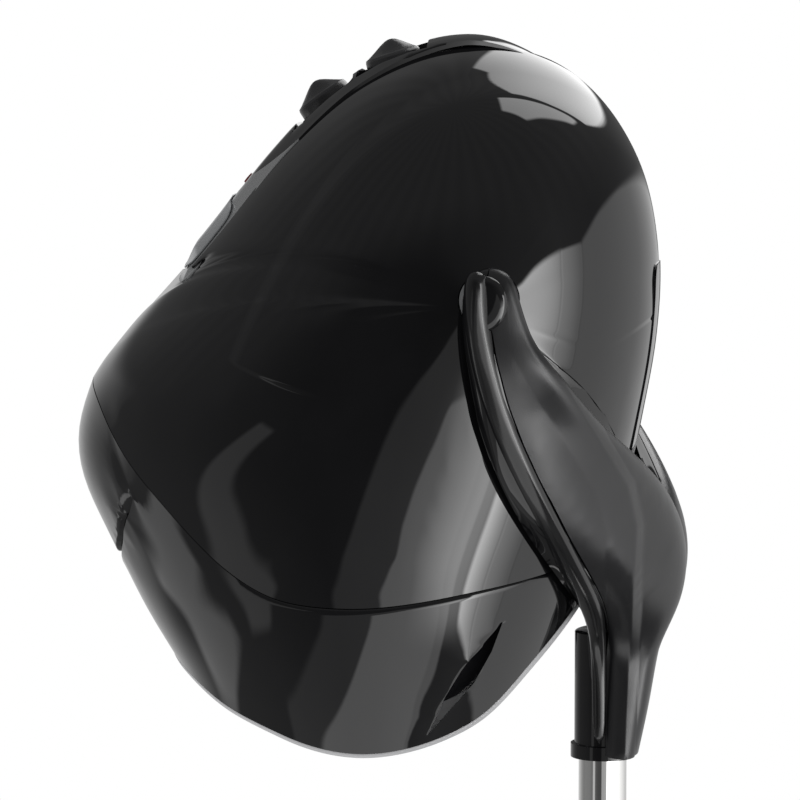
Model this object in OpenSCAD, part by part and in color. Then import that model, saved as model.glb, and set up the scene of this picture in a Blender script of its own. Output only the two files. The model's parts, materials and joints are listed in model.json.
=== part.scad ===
// Ozone hair steamer on a castor stand, with a tilting hood on a forked yoke.
// The origin is on the floor, on the mast's axis. The hood's front faces -X and +Z is up.
// The parts stand at rest: mast lowered, hood tilted down onto its stop.
// Names ending in _l and _r are left and right for someone who faces the hood's front, so _r is at -Y.

/* [Hood] */
// Reach from the hood's centre to the top of its crown
hood_reach = 250; // [225:1:275]
// Width of the hood over its two side shells
hood_w = 370; // [345:1:395]
// Squareness of the hood's cross-section, 2 for a plain oval
hood_square = 2.3; // [2.1:0.05:2.6]
// Height of the hood's centre above the underside of the yoke's socket
hood_rise = 238; // [230:1:246]
// Distance of the hood's centre in front of the mast's axis
hood_ahead = 145; // [140:1:150]
// Wall of the moulded shells
shell_wall = 3; // [2:0.25:4]
// Wall of the inner bowl
bowl_wall = 3; // [2:0.25:4]
// Height by which the rim gasket stands out from the shell
gasket_proud = 0.5; // [0.2:0.1:1.5]

/* [Crown] */
// Half width of the control panel
panel_half = 80; // [70:1:84]
// Height of the control panel over the shells
panel_rise = 5.5; // [3:0.25:8]
// Half width of the rear tank cover
cover_half = 38; // [30:1:46]
// Height of the rear tank cover over the shells
cover_rise = 3; // [2:0.25:5]
// Diameter of each control knob
knob_d = 36; // [30:0.5:38]
// Height of each control knob
knob_h = 14; // [10:0.5:18]
// Diameter of the control shafts
shaft_d = 6; // [4:0.5:8]
// Diameter of the indicator lamp's lens
lamp_lens_d = 8; // [5:0.5:12]

/* [Yoke] */
// Height of the tilt axis above the underside of the socket
pivot_rise = 315; // [310:1:320]
// Distance of the tilt axis in front of the mast's axis
pivot_ahead = 65; // [62:1:68]
// Half span of the yoke at the middle of its arms
yoke_half = 190; // [188:1:196]
// Thickness of the yoke's outer covers
cover_wall = 2.5; // [2:0.25:3.5]
// Diameter of the tilt bolts
bolt_d = 12; // [10:0.5:14]
// Outer diameter of the pole socket
socket_d = 38; // [36:0.5:42]
// Diameter of the ring at the socket's foot
ring_d = 43; // [41:0.5:48]
// Height of the ring at the socket's foot
ring_h = 9; // [7:0.5:12]
// Length of the pole socket over its domed top
socket_h = 88; // [80:1:96]

/* [Mast] */
// Outer diameter of the sliding mast tube
mast_d = 32; // [28:0.5:34]
// Wall of the sliding mast tube
mast_wall = 1.5; // [1:0.25:2]
// Height of the socket's underside above the floor with the mast lowered
socket_z = 1000; // [950:5:1050]
// Travel of the sliding mast
mast_travel = 250; // [200:5:280]
// Outer diameter of the fixed lower tube
column_d = 40; // [39:0.5:44]
// Wall of the fixed lower tube
column_wall = 2; // [1:0.25:2]
// Height of the top of the fixed lower tube
column_top = 700; // [680:5:720]
// Outer diameter of the clamp collar
collar_d = 54; // [52:0.5:60]
// Height of the clamp collar
collar_h = 80; // [70:1:95]
// Diameter of the clamp screw
screw_d = 8; // [6:0.5:10]
// Diameter of the clamp knob
clamp_knob_d = 38; // [30:1:46]

/* [Base] */
// Distance of each castor stem from the mast's axis
leg_reach = 300; // [260:5:340]
// Diameter of the base's hub
hub_d = 86; // [76:1:96]
// Height of the top of the hub
hub_top = 130; // [120:1:140]
// Diameter of each castor wheel
wheel_d = 50; // [44:1:56]
// Width of each castor wheel
wheel_w = 20; // [16:0.5:24]
// Distance from each castor's stem to its axle
castor_trail = 20; // [16:1:24]
// Diameter of each castor's stem
stem_d = 11; // [9:0.5:12]
// Diameter of each castor's axle
axle_d = 8; // [6:0.5:9]

/* [Steam unit] */
// Diameter of the boiler
boiler_d = 100; // [90:1:106]
// Height of the boiler
boiler_h = 49; // [44:1:56]
// Diameter of the steam pipe
pipe_d = 14; // [10:0.5:16]
// Diameter of the steam diffuser in the bowl
diffuser_d = 90; // [70:1:100]
// Half width of the water tank
tank_half = 60; // [50:1:66]
// Diameter of the ozone lamp's tube
tube_d = 12; // [10:0.5:16]
// Length of the ozone lamp's tube
tube_l = 100; // [80:1:120]

/* [Hidden] */

overrun = 1;
fit = 0.05;
rest_gap = 0.3;
steps = 72;
hull_steps = 32;
hood_x = -hood_ahead;
hood_z = socket_z + hood_rise;
hood_centre = [hood_x, 0, hood_z];
hood_half = hood_w / 2;
pivot_x = -pivot_ahead;
pivot_z = socket_z + pivot_rise;

// Side outline of the hood: angle about its centre from the rear upwards, and the radius
// there as a share of the hood's reach. The part below the rim only shapes the tapered walls.
hood_shares = [
    [0, 0.685], [15, 0.742], [30, 0.832], [45, 0.935], [60, 1.002], [75, 0.994], [90, 0.898],
    [105, 0.773], [120, 0.684], [135, 0.643], [150, 0.655], [163, 0.706], [172, 0.762],
    [180, 0.81], [187, 0.836], [195, 0.834], [207, 0.812], [220, 0.84], [234, 0.9],
    [250, 1.08], [270, 1.28], [288, 1.06], [302, 0.86], [315, 0.745], [330, 0.684], [345, 0.671]
];
// Side outline of the inner bowl, in the same form
bowl_shares = [
    [0, 0.44], [30, 0.37], [60, 0.31], [90, 0.288], [120, 0.31], [150, 0.44], [175, 0.62], [195, 0.7],
    [215, 0.752], [234, 0.836], [252, 1.01], [270, 1.2], [288, 0.99], [302, 0.79], [315, 0.672], [335, 0.53]
];
// Half width of the bowl as a share of the hood's half width
bowl_half_share = 0.88;
// Seam between the side shells and the skirt: azimuth from the front, and angle from straight up
seam_angles = [
    [0, 84.5], [20, 86], [34, 91], [47, 104], [58, 115.5], [70, 122], [88, 123.4], [115, 122], [180, 122]
];
// Rim of the hood, in the same form
rim_angles = [
    [0, 138.8], [30, 139.6], [57, 142.3], [75, 144.4], [95, 144.8], [118, 143.4], [138, 138], [160, 133.5],
    [180, 132.5]
];

function knot_of(table, angle, i = 0) =
    (i + 1 < len(table) && table[i + 1][0] <= angle) ? knot_of(table, angle, i + 1) : i;
function wrapped(table, i) =
    let (n = len(table), turn = floor(i / n), k = i - n * turn)
    [table[k][0] + 360 * turn, table[k][1]];
function slope_at(table, i) =
    let (p = wrapped(table, i - 1), q = wrapped(table, i + 1))
    (q[1] - p[1]) / (q[0] - p[0]);
// A smooth closed curve through a table of angles and values
function smooth_at(table, angle) =
    let (a = angle - 360 * floor(angle / 360), i = knot_of(table, a),
         p = wrapped(table, i), q = wrapped(table, i + 1), h = q[0] - p[0], t = (a - p[0]) / h,
         u = t * t, w = u * t)
    (2 * w - 3 * u + 1) * p[1] + (w - 2 * u + t) * h * slope_at(table, i)
    + (3 * u - 2 * w) * q[1] + (w - u) * h * slope_at(table, i + 1);
function mirrored(table) =
    concat(table, [for (i = [len(table) - 2:-1:1]) [360 - table[i][0], table[i][1]]]);

seam_table = mirrored(seam_angles);
rim_table = mirrored(rim_angles);
function seam_at(azimuth) = smooth_at(seam_table, azimuth);
function rim_at(azimuth) = smooth_at(rim_table, azimuth);

// Direction from the hood's centre by azimuth from the front and angle from straight up
function direction(azimuth, tilt) = [-cos(azimuth) * sin(tilt), -sin(azimuth) * sin(tilt), cos(tilt)];
// Distance from the hood's centre to the surface of an outline swept over its half width
function reach_of(d, shares, half) =
    let (flat = norm([d[0], d[2]]), edge = hood_reach * smooth_at(shares, atan2(d[2], d[0])))
    pow(pow(flat / edge, hood_square) + pow(abs(d[1]) / half, hood_square), -1 / hood_square);
function hood_point(d, inset = 0) = hood_centre + (reach_of(d, hood_shares, hood_half) - inset) * d;
function bowl_point(d, inset = 0) =
    hood_centre + (reach_of(d, bowl_shares, hood_half * bowl_half_share) - inset) * d;
// Point on the hood's surface by side angle and distance from the centre plane, lifted outwards
function crown_point(angle, y, lift = 0) =
    let (narrow = pow(1 - pow(min(1, abs(y) / hood_half), hood_square), 1 / hood_square),
         r = hood_reach * smooth_at(hood_shares, angle) * narrow + lift)
    hood_centre + [r * cos(angle), y, r * sin(angle)];
function unit(v) = v / norm(v);
function mix(a, b, t) = a + (b - a) * t;
function mean_of(list) = list * [for (v = list) 1] / len(list);

// Closed solid between two grids of points, each a list of rows of equal length.
// Rows close on themselves when looped is true.
module wall_between(outer, inner, looped) {
    rows = len(outer);
    cols = len(outer[0]);
    last = looped ? cols : cols - 1;
    half = rows * cols;
    function at(i, j) = i * cols + j % cols;
    points = concat([for (row = outer, p = row) p], [for (row = inner, p = row) p]);
    skins = [for (i = [0:rows - 2], j = [0:last - 1]) each [
        [at(i, j), at(i, j + 1), at(i + 1, j + 1)], [at(i, j), at(i + 1, j + 1), at(i + 1, j)],
        [half + at(i, j), half + at(i + 1, j + 1), half + at(i, j + 1)],
        [half + at(i, j), half + at(i + 1, j), half + at(i + 1, j + 1)]]];
    ends = [for (j = [0:last - 1]) each [
        [at(0, j), half + at(0, j), half + at(0, j + 1)], [at(0, j), half + at(0, j + 1), at(0, j + 1)],
        [at(rows - 1, j), half + at(rows - 1, j + 1), half + at(rows - 1, j)],
        [at(rows - 1, j), at(rows - 1, j + 1), half + at(rows - 1, j + 1)]]];
    sides = looped ? [] : [for (i = [0:rows - 2]) each [
        [at(i, 0), at(i + 1, 0), half + at(i + 1, 0)], [at(i, 0), half + at(i + 1, 0), half + at(i, 0)],
        [at(i, cols - 1), half + at(i + 1, cols - 1), at(i + 1, cols - 1)],
        [at(i, cols - 1), half + at(i, cols - 1), half + at(i + 1, cols - 1)]]];
    polyhedron(points = points, faces = concat(skins, ends, sides), convexity = 8);
}

// Closed solid through a list of rings, with both end rings capped
module loft(rings) {
    rows = len(rings);
    cols = len(rings[0]);
    function middle(ring) = [for (k = [0:2]) mean_of([for (p = ring) p[k]])];
    points = concat([for (ring = rings, p = ring) p], [middle(rings[0]), middle(rings[rows - 1])]);
    skin = [for (i = [0:rows - 2], j = [0:cols - 1]) let (k = (j + 1) % cols) each [
        [i * cols + j, (i + 1) * cols + k, i * cols + k],
        [i * cols + j, (i + 1) * cols + j, (i + 1) * cols + k]]];
    caps = [for (j = [0:cols - 1]) let (k = (j + 1) % cols) each [
        [rows * cols, j, k], [rows * cols + 1, (rows - 1) * cols + k, (rows - 1) * cols + j]]];
    polyhedron(points = points, faces = concat(skin, caps), convexity = 8);
}

module tube(outer_d, inner_d, h) {
    difference() {
        cylinder(d = outer_d, h = h, $fn = steps);
        translate([0, 0, -overrun]) cylinder(d = inner_d, h = h + 2 * overrun, $fn = steps);
    }
}

// Places its children on one side of the yoke: side is -1 for the near arm and 1 for the far arm
module on_side(side) {
    if (side < 0) children();
    else mirror([0, 1, 0]) children();
}

/* Stand */
leg_count = 5;
leg_turn = 36;
castor_room = 8;
castor_top = wheel_d + castor_room;
leg_foot_h = 26;
leg_foot_d = 30;
leg_root_w = 38;
hub_lift = 14;
hub_bottom = castor_top + hub_lift;
hub_floor = 14;
socket_floor = hub_bottom + hub_floor;
fork_plate_h = 4;
fork_wall = 3;
hub_side_gap = 0.15;

module each_leg(k) {
    rotate([0, 0, leg_turn + 360 / leg_count * (k - 1)]) children();
}

module leg() {
    hull() {
        translate([leg_reach, 0, castor_top]) cylinder(d = leg_foot_d, h = leg_foot_h, $fn = hull_steps);
        translate([0, 0, hub_bottom])
        cylinder(d = leg_root_w, h = hub_top - hub_bottom - overrun, $fn = hull_steps);
    }
}

module star_base() {
    color("#1d1d1f")
    difference() {
        union() {
            translate([0, 0, hub_bottom]) cylinder(d = hub_d, h = hub_top - hub_bottom, $fn = steps);
            for (k = [1:leg_count]) each_leg(k) leg();
        }
        translate([0, 0, socket_floor])
        cylinder(d = column_d + 2 * fit, h = hub_top - socket_floor + overrun, $fn = steps);
        for (k = [1:leg_count]) each_leg(k)
        translate([leg_reach, 0, castor_top - overrun])
        cylinder(d = stem_d + 2 * fit, h = leg_foot_h - fork_wall + overrun, $fn = steps);
    }
}

hub_cover_h = 26;
hub_cover_neck = 6;
module hub_cover() {
    inner = column_d / 2 + rest_gap;
    color("#26262a")
    translate([0, 0, hub_top])
    rotate_extrude($fn = steps)
    polygon([[inner, 0], [hub_d / 2, 0], [hub_d / 2, hub_cover_neck], [inner + hub_cover_neck, hub_cover_h],
             [inner, hub_cover_h]]);
}

gland_d = 14;
gland_l = 22;
gland_bore_d = 8;
module cable_gland() {
    color("#1b1b1b")
    rotate([0, 0, leg_turn - 180 / leg_count])
    translate([hub_d / 2 - overrun / 2, 0, (hub_bottom + hub_top) / 2])
    rotate([0, 90, 0])
    difference() {
        intersection() {
            union() {
                cylinder(d = gland_d, h = gland_l / 2, $fn = steps);
                cylinder(d = gland_d - fork_wall, h = gland_l, $fn = steps);
            }
            translate([0, 0, overrun]) cylinder(d = gland_d, h = gland_l, $fn = steps);
        }
        cylinder(d = gland_bore_d, h = gland_l + overrun, $fn = steps);
    }
}

module lower_tube() {
    color("#2a2a2c")
    translate([0, 0, socket_floor]) tube(column_d, column_d - 2 * column_wall, column_top - socket_floor);
}

bush_l = 60;
bush_flange = 4;
module tube_bush() {
    color("#3a3a3a")
    difference() {
        union() {
            translate([0, 0, column_top - bush_l])
            cylinder(d = column_d - 2 * column_wall - 2 * fit, h = bush_l, $fn = steps);
            translate([0, 0, column_top]) cylinder(d = column_d, h = bush_flange, $fn = steps);
        }
        translate([0, 0, column_top - bush_l - overrun])
        cylinder(d = mast_d + 2 * fit, h = bush_l + bush_flange + 2 * overrun, $fn = steps);
    }
}

collar_grip = 36;
clamp_boss_d = 24;
clamp_boss_l = 14;
clamp_z = column_top + (collar_h - collar_grip + bush_flange) / 2;
module clamp_collar() {
    seat = column_top + bush_flange;
    color("#232325")
    difference() {
        union() {
            translate([0, 0, column_top - collar_grip]) cylinder(d = collar_d, h = collar_h, $fn = steps);
            translate([0, 0, clamp_z]) rotate([0, 90, 0])
            cylinder(d = clamp_boss_d, h = collar_d / 2 + clamp_boss_l, $fn = steps);
        }
        translate([0, 0, column_top - collar_grip - overrun])
        cylinder(d = column_d + 2 * fit, h = seat - column_top + collar_grip + overrun, $fn = steps);
        translate([0, 0, seat - overrun]) cylinder(d = mast_d + 2 * rest_gap, h = collar_h, $fn = steps);
        translate([0, 0, clamp_z]) rotate([0, 90, 0])
        cylinder(d = screw_d + 2 * fit, h = collar_d + clamp_boss_l, $fn = steps);
    }
}

clamp_lobes = 6;
clamp_knob_l = 20;
clamp_neck_l = 5;
module clamp_knob() {
    neck = collar_d / 2 + clamp_boss_l + rest_gap;
    color("#141415")
    translate([0, 0, clamp_z]) rotate([0, 90, 0]) {
        translate([0, 0, mast_d / 2 + fit]) cylinder(d = screw_d, h = neck - mast_d / 2, $fn = steps);
        translate([0, 0, neck]) cylinder(d = clamp_boss_d - fork_wall, h = clamp_neck_l, $fn = steps);
        translate([0, 0, neck + clamp_neck_l])
        difference() {
            cylinder(d = clamp_knob_d, h = clamp_knob_l, $fn = steps);
            for (i = [1:clamp_lobes]) rotate([0, 0, 360 / clamp_lobes * i])
            translate([clamp_knob_d / 2 + fork_wall, 0, -overrun])
            cylinder(d = clamp_knob_d / 3, h = clamp_knob_l + 2 * overrun, $fn = steps);
        }
    }
}

/* Castors */
hub_proud = 1.5;
hub_face = wheel_w / 2 + hub_proud;
module castor_fork(k) {
    cheek_top = castor_top - fork_plate_h - rest_gap;
    color("#2c2c2f")
    each_leg(k) translate([leg_reach, 0, 0]) {
        translate([0, 0, cheek_top]) cylinder(d = leg_foot_d, h = fork_plate_h, $fn = steps);
        translate([0, 0, cheek_top + fork_plate_h / 2])
        cylinder(d = stem_d, h = leg_foot_h - 2 * fork_wall + fork_plate_h / 2 + rest_gap, $fn = steps);
        for (side = [-1, 1])
        translate([0, side * (hub_face + hub_side_gap + fork_wall / 2) + fork_wall / 2, 0])
        rotate([90, 0, 0])
        linear_extrude(height = fork_wall)
        polygon([[-leg_foot_d / 3, cheek_top + fork_wall], [leg_foot_d / 3, cheek_top + fork_wall],
                 [castor_trail + axle_d, wheel_d / 2 + axle_d / 2],
                 [castor_trail + axle_d, wheel_d / 2 - axle_d],
                 [castor_trail - axle_d, wheel_d / 2 - axle_d]]);
        translate([castor_trail, 0, wheel_d / 2]) rotate([90, 0, 0])
        translate([0, 0, -hub_face - hub_side_gap - fork_wall])
        cylinder(d = axle_d, h = 2 * (hub_face + hub_side_gap + fork_wall), $fn = steps);
    }
}

tread_round = 4;
module castor_wheel(k) {
    color("#47474a")
    each_leg(k) translate([leg_reach + castor_trail, 0, wheel_d / 2]) rotate([90, 0, 0])
    rotate_extrude($fn = steps)
    polygon([[axle_d / 2 + fit, -hub_face], [axle_d, -hub_face], [axle_d, -wheel_w / 2],
             [wheel_d / 2 - tread_round, -wheel_w / 2], [wheel_d / 2, tread_round - wheel_w / 2],
             [wheel_d / 2, wheel_w / 2 - tread_round], [wheel_d / 2 - tread_round, wheel_w / 2],
             [axle_d, wheel_w / 2], [axle_d, hub_face], [axle_d / 2 + fit, hub_face]]);
}

/* Mast and yoke */
// Length of the mast that stays in the lower tube when it is fully raised
mast_stay = 50;
mast_insert = mast_travel + mast_stay;
// Distance of the mast's top under the top of the socket's dome
mast_short = 7;
mast_seat = socket_z + socket_h - mast_short;
module mast_tube() {
    foot = column_top - mast_insert;
    color("#d4d6d8")
    translate([0, 0, foot]) tube(mast_d, mast_d - 2 * mast_wall, mast_seat - fit - foot);
}

// Rib down the back of the socket, which closes the gap between the arm covers
rib_half = 4;
rib_low = 22.5;
rib_high = 35;
module pole_socket() {
    dome = mast_seat + fork_wall;
    color("#0d0d0e")
    difference() {
        union() {
            translate([0, 0, socket_z]) cylinder(d = ring_d, h = ring_h, $fn = steps);
            translate([0, 0, socket_z]) cylinder(d = socket_d, h = dome - socket_z, $fn = steps);
            rotate([90, 0, 0]) translate([0, 0, -rib_half]) linear_extrude(height = 2 * rib_half)
            polygon([[0, socket_z + ring_h], [rib_low, socket_z + ring_h], [rib_high, dome], [0, dome]]);
            translate([0, 0, dome])
            rotate_extrude($fn = steps)
            intersection() {
                scale([1, (socket_z + socket_h - dome) / socket_d * 2, 1]) circle(d = socket_d, $fn = steps);
                square(socket_d);
            }
        }
        translate([0, 0, socket_z - overrun])
        cylinder(d = mast_d + 2 * fit, h = mast_seat - socket_z + overrun, $fn = steps);
    }
}

// Level sections of one yoke arm, from the top down. Heights are shares of the pivot's rise, places
// ahead of the mast are shares of the pivot's distance ahead, and offsets are shares of the half span.
// Each row holds: height, front x, front y, rear x, rear y, thickness, outward bow.
arm_shares = [
    [1.067, 1.0, 1.0, 0.92, 1.0, 0.025, 0], [1.06, 1.1, 1.0, 0.82, 1.0, 0.07, 0],
    [1.04, 1.18, 1.0, 0.74, 1.0, 0.1, 0], [1.0, 1.23, 1.0, 0.68, 1.0, 0.115, 0],
    [0.93, 1.22, 1.0, 0.57, 0.985, 0.115, 0], [0.86, 1.17, 0.995, 0.38, 0.94, 0.115, 0.012],
    [0.79, 1.1, 0.985, 0.14, 0.79, 0.115, 0.03], [0.72, 1.0, 0.96, -0.11, 0.56, 0.12, 0.06],
    [0.65, 0.88, 0.92, -0.345, 0.3, 0.135, 0.08], [0.585, 0.73, 0.86, -0.525, 0.1, 0.15, 0.085],
    [0.52, 0.57, 0.77, -0.645, 0.01, 0.175, 0.075], [0.455, 0.4, 0.63, -0.68, 0, 0.205, 0.065],
    [0.4, 0.26, 0.47, -0.665, 0, 0.235, 0.045], [0.345, 0.14, 0.29, -0.64, 0, 0.25, 0.02],
    [0.29, 0.06, 0.13, -0.6, 0, 0.252, 0], [0.22, 0.02, 0, -0.56, 0, 0.252, 0],
    [0.12, 0.02, 0, -0.48, 0, 0.252, 0], [0.012, 0.02, 0, -0.37, 0, 0.252, 0]
];
arm_square = 3;
arm_between = 2;
// Where the satin cover begins round each section, in degrees from the section's rear edge
cover_from = 6;
// Where it ends, in the same degrees, by height as a share of the pivot's rise
cover_to_shares = [
    [0, 121], [0.12, 127], [0.22, 133], [0.29, 152], [0.345, 152], [0.4, 148.5], [0.455, 144], [0.585, 137],
    [0.65, 133.5], [0.72, 127], [0.79, 114], [0.86, 99], [0.93, 92], [1.07, 91]
];
cover_steps = 12;
cover_joint = 2;
cover_gap = 0.3;
back_steps = 14;
half_joint = 0.1;

function signed_pow(v, e) = sign(v) * pow(abs(v), e);
function arm_row(t) =
    let (n = len(arm_shares) - 1, i = min(n - 1, floor(t)), f = t - i,
         p = arm_shares[max(0, i - 1)], a = arm_shares[i],
         b = arm_shares[i + 1], q = arm_shares[min(n, i + 2)],
         u = f * f, w = u * f)
    (2 * w - 3 * u + 1) * a + (w - 2 * u + f) * (b - p) / 2 + (3 * u - 2 * w) * b + (w - u) * (q - a) / 2;
// A point moved straight out from the hood's centre where it comes too near the hood
hood_gap = 4.5;
function off_hood(p) =
    let (v = p - hood_centre, least = reach_of(unit(v), hood_shares, hood_half) + hood_gap)
    norm(v) < least ? hood_centre + least * unit(v) : p;
// Point on the outline of the near arm's section, at an angle from its rear edge over its outer face
function arm_point(t, angle, inset = 0) =
    let (r = arm_row(t),
         front = [-r[1] * pivot_ahead, -r[2] * yoke_half], rear = [-r[3] * pivot_ahead, -r[4] * yoke_half],
         chord = rear - front, long = norm(chord) / 2, along = unit(chord), out = [along[1], -along[0]],
         c = signed_pow(cos(angle), 2 / arm_square) * max(long - inset, long / 4),
         s = signed_pow(sin(angle), 2 / arm_square) * max(r[5] * yoke_half / 2 - inset, r[5] * yoke_half / 8),
         bow = r[6] * yoke_half * pow(sin(angle), 2),
         p = (front + rear) / 2 + along * c + out * (s + bow))
    off_hood([p[0], min(p[1], -half_joint), socket_z + r[0] * pivot_rise]);
arm_times = [for (i = [0:arm_between * (len(arm_shares) - 1)]) i / arm_between];
function cover_end(t) = lookup(arm_row(t)[0], cover_to_shares);
function cover_edge(t) = [for (j = [0:cover_steps]) mix(cover_from, cover_end(t), j / cover_steps)];
// Outline of a section of the frame, as angles and insets, with the part under the cover set in
function frame_edge(t) =
    let (first = cover_end(t) + cover_joint, last = 360 + cover_from - 2 * cover_joint)
    concat([[cover_from - cover_joint, 0]], [for (a = cover_edge(t)) [a, cover_wall + cover_gap]],
        [for (j = [0:back_steps]) [mix(first, last, j / back_steps), 0]]);

pin_pad_d = 26;
washer_h = 2;
washer_d = 30;
boss_d = 36;
boss_l = 24;
boss_face_share = 0.94;
boss_face = hood_half * boss_face_share;
head_d = 20;
head_h = 5;
head_proud = 7;
head_seat = yoke_half + head_proud;
arm_cut = 2 * head_d;
pad_face = boss_face + washer_h + 2 * fit;

module at_pivot(y) {
    translate([pivot_x, y, pivot_z]) rotate([90, 0, 0]) children();
}

module socket_cut() {
    translate([0, 0, socket_z - overrun]) {
        cylinder(d = socket_d + 2 * fit, h = socket_h + 2 * overrun, $fn = steps);
        cylinder(d = ring_d + 2 * rest_gap, h = ring_h + overrun + rest_gap, $fn = steps);
    }
}

module head_cut() {
    at_pivot(-head_seat) cylinder(d = head_d + 2 * fork_wall, h = arm_cut, $fn = steps);
}

module yoke_frame() {
    color("#111112")
    difference() {
        union() {
            loft([for (t = arm_times) [for (a = frame_edge(t)) arm_point(t, a[0], a[1])]]);
            at_pivot(-pad_face) cylinder(d = pin_pad_d, h = yoke_half - pad_face, $fn = steps);
        }
        translate([0, 0, socket_z - overrun])
        cylinder(d = 3 * socket_d, h = socket_h + overrun + rest_gap, $fn = steps);
        head_cut();
        at_pivot(-pad_face + overrun)
        cylinder(d = bolt_d + 2 * fit, h = head_seat - pad_face + 2 * overrun, $fn = steps);
    }
}

module arm_cover() {
    color("#2b2b2d")
    difference() {
        wall_between([for (t = arm_times) [for (a = cover_edge(t)) arm_point(t, a, cover_wall)]],
                     [for (t = arm_times) [for (a = cover_edge(t)) arm_point(t, a)]], false);
        socket_cut();
        head_cut();
    }
}

module tilt_bolt() {
    color("#a8aaad") {
        at_pivot(-head_seat) cylinder(d = head_d, h = head_h, $fn = steps);
        at_pivot(-boss_face + boss_l) cylinder(d = bolt_d, h = head_seat - boss_face + boss_l, $fn = steps);
    }
}

module friction_washer() {
    color("#b9b4a6")
    at_pivot(-boss_face - fit) tube(washer_d, bolt_d + 2 * fit, washer_h);
}

cap_w = 28;
cap_long = 34;
cap_h = 7;
module pivot_cap() {
    color("#0f0f10")
    hull()
    for (shift = [-1, 1])
    translate([0, 0, shift * (cap_long - cap_w) / 2])
    at_pivot(-head_seat - head_h - fit) {
        cylinder(d = cap_w, h = cap_h / 2, $fn = hull_steps);
        cylinder(d = cap_w - cap_h, h = cap_h, $fn = hull_steps);
    }
}

module pivot_boss() {
    color("#8d8f92")
    at_pivot(-boss_face + boss_l) tube(boss_d, bolt_d + 2 * fit, boss_l);
}

bar_d = 24;
module cross_bar() {
    span = boss_face - boss_l - fit;
    color("#77797c")
    at_pivot(span) tube(bar_d, bar_d - 2 * fork_wall, 2 * span);
}

/* Hood shells */
pivot_hole_gap = 2.2;
pivot_hole_d = boss_d + 2 * pivot_hole_gap;
shell_rings = 8;
crown_cols = 40;
seam_cols = 29;
// Side angles where the control panel and the tank cover begin and end
panel_front = 147.5;
panel_rear = 62;
cover_top = 27;
cover_foot = -24;
lap = 4;
// Angle by which the shells' cut-outs stop short of the ends of the panel and the cover
trench_margin = 3;
ring_power = 0.8;
crown_joint = 0.15;
seam_edge = 0.3;

// Distance from the centre plane to the edge of a side shell, at a side angle
function trench_half(angle) =
    angle < panel_front - trench_margin && angle > panel_rear + trench_margin
    ? panel_half * lookup(angle, panel_half_shares) - lap
    : angle < cover_top - trench_margin && angle > cover_foot + trench_margin ? cover_half - lap
    : crown_joint;
function seam_direction(azimuth, shift = 0) = direction(azimuth, seam_at(azimuth) + shift);
front_top = atan2(cos(seam_at(0)), -sin(seam_at(0)));
rear_top = atan2(cos(seam_at(180)), sin(seam_at(180)));

// Directions round the edge of the near side shell: up over the crown, then back along the seam
function shell_edge() = concat(
    [for (i = [0:crown_cols - 1])
        let (a = mix(rear_top + seam_edge, front_top - seam_edge, i / (crown_cols - 1)))
        unit(crown_point(a, -trench_half(a)) - hood_centre)],
    [for (i = [1:seam_cols]) let (b = 180 * i / (seam_cols + 1)) seam_direction(b, -seam_edge)]);
function hole_direction(d) =
    let (p = hood_centre + d * reach_of(d, hood_shares, hood_half),
         turn = atan2(p[2] - pivot_z, p[0] - pivot_x),
         x = pivot_x + cos(turn) * pivot_hole_d / 2 - hood_x,
         z = pivot_z + sin(turn) * pivot_hole_d / 2 - hood_z,
         s = norm([x, z]) / (hood_reach * smooth_at(hood_shares, atan2(z, x))))
    unit([x, -hood_half * pow(1 - pow(s, hood_square), 1 / hood_square), z]);

module side_shell() {
    rim = shell_edge();
    hole = [for (d = rim) hole_direction(d)];
    grid = [for (k = [0:shell_rings]) let (t = pow(k / shell_rings, ring_power)) [for (j = [0:len(rim) - 1])
        unit(mix(hole[j], rim[j], t))]];
    color("#131315")
    wall_between([for (row = grid) [for (d = row) hood_point(d)]],
                 [for (row = grid) [for (d = row) hood_point(d, shell_wall)]], true);
}

skirt_cols = 60;
skirt_rows = 6;
function around(count, from, to, rows) = [for (k = [0:rows]) [for (j = [0:count - 1])
    let (b = 360 / count * j) direction(b, mix(from(b), to(b), k / rows))]];

// Grip slot across the front, seen from the front: half width, height of its middle under the hood's
// centre, rise of its ends and half opening, all as shares of the hood's reach
slot_shares = [0.52, -0.424, 0.212, 0.017];
slot_bend = 2.35;
slot_steps = 12;
slot_end_share = 0.1;
// Vent slot in each side, seen from the side: its rear edge upwards and its front edge down again
vent_shares = [[0.16, -0.8], [0.222, -0.728], [0.276, -0.668], [0.32, -0.588], [0.348, -0.512],
               [0.3, -0.57], [0.25, -0.625], [0.205, -0.7], [0.176, -0.765]];
// Place and length of the cut through the side wall, as a share of the hood's half width
vent_cut_share = 0.8;
module grip_slot() {
    spots = [for (i = [-slot_steps:slot_steps]) i / slot_steps];
    function half_open(s) = slot_shares[3] * max(slot_end_share, sqrt(1 - s * s));
    function middle(s) = slot_shares[1] + slot_shares[2] * pow(abs(s), slot_bend);
    function edge(s, way) = hood_reach * [slot_shares[0] * s, middle(s) + way * half_open(s)];
    translate([hood_x - hood_reach, 0, hood_z]) rotate([90, 0, 90])
    linear_extrude(height = hood_reach / 2)
    polygon(concat([for (s = spots) edge(s, -1)], [for (i = [len(spots) - 1:-1:0]) edge(spots[i], 1)]));
}

module vent_slot(side) {
    translate([hood_x, side * hood_half * vent_cut_share, hood_z]) rotate([90, 0, 0])
    linear_extrude(height = hood_half * vent_cut_share, center = true) polygon(vent_shares * hood_reach);
}

module lower_skirt() {
    grid = around(skirt_cols, function (b) seam_at(b) + seam_edge, function (b) rim_at(b), skirt_rows);
    color("#131315")
    difference() {
        wall_between([for (row = grid) [for (d = row) hood_point(d)]],
                     [for (row = grid) [for (d = row) hood_point(d, shell_wall)]], true);
        grip_slot();
        for (side = [-1, 1]) vent_slot(side);
    }
}

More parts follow.
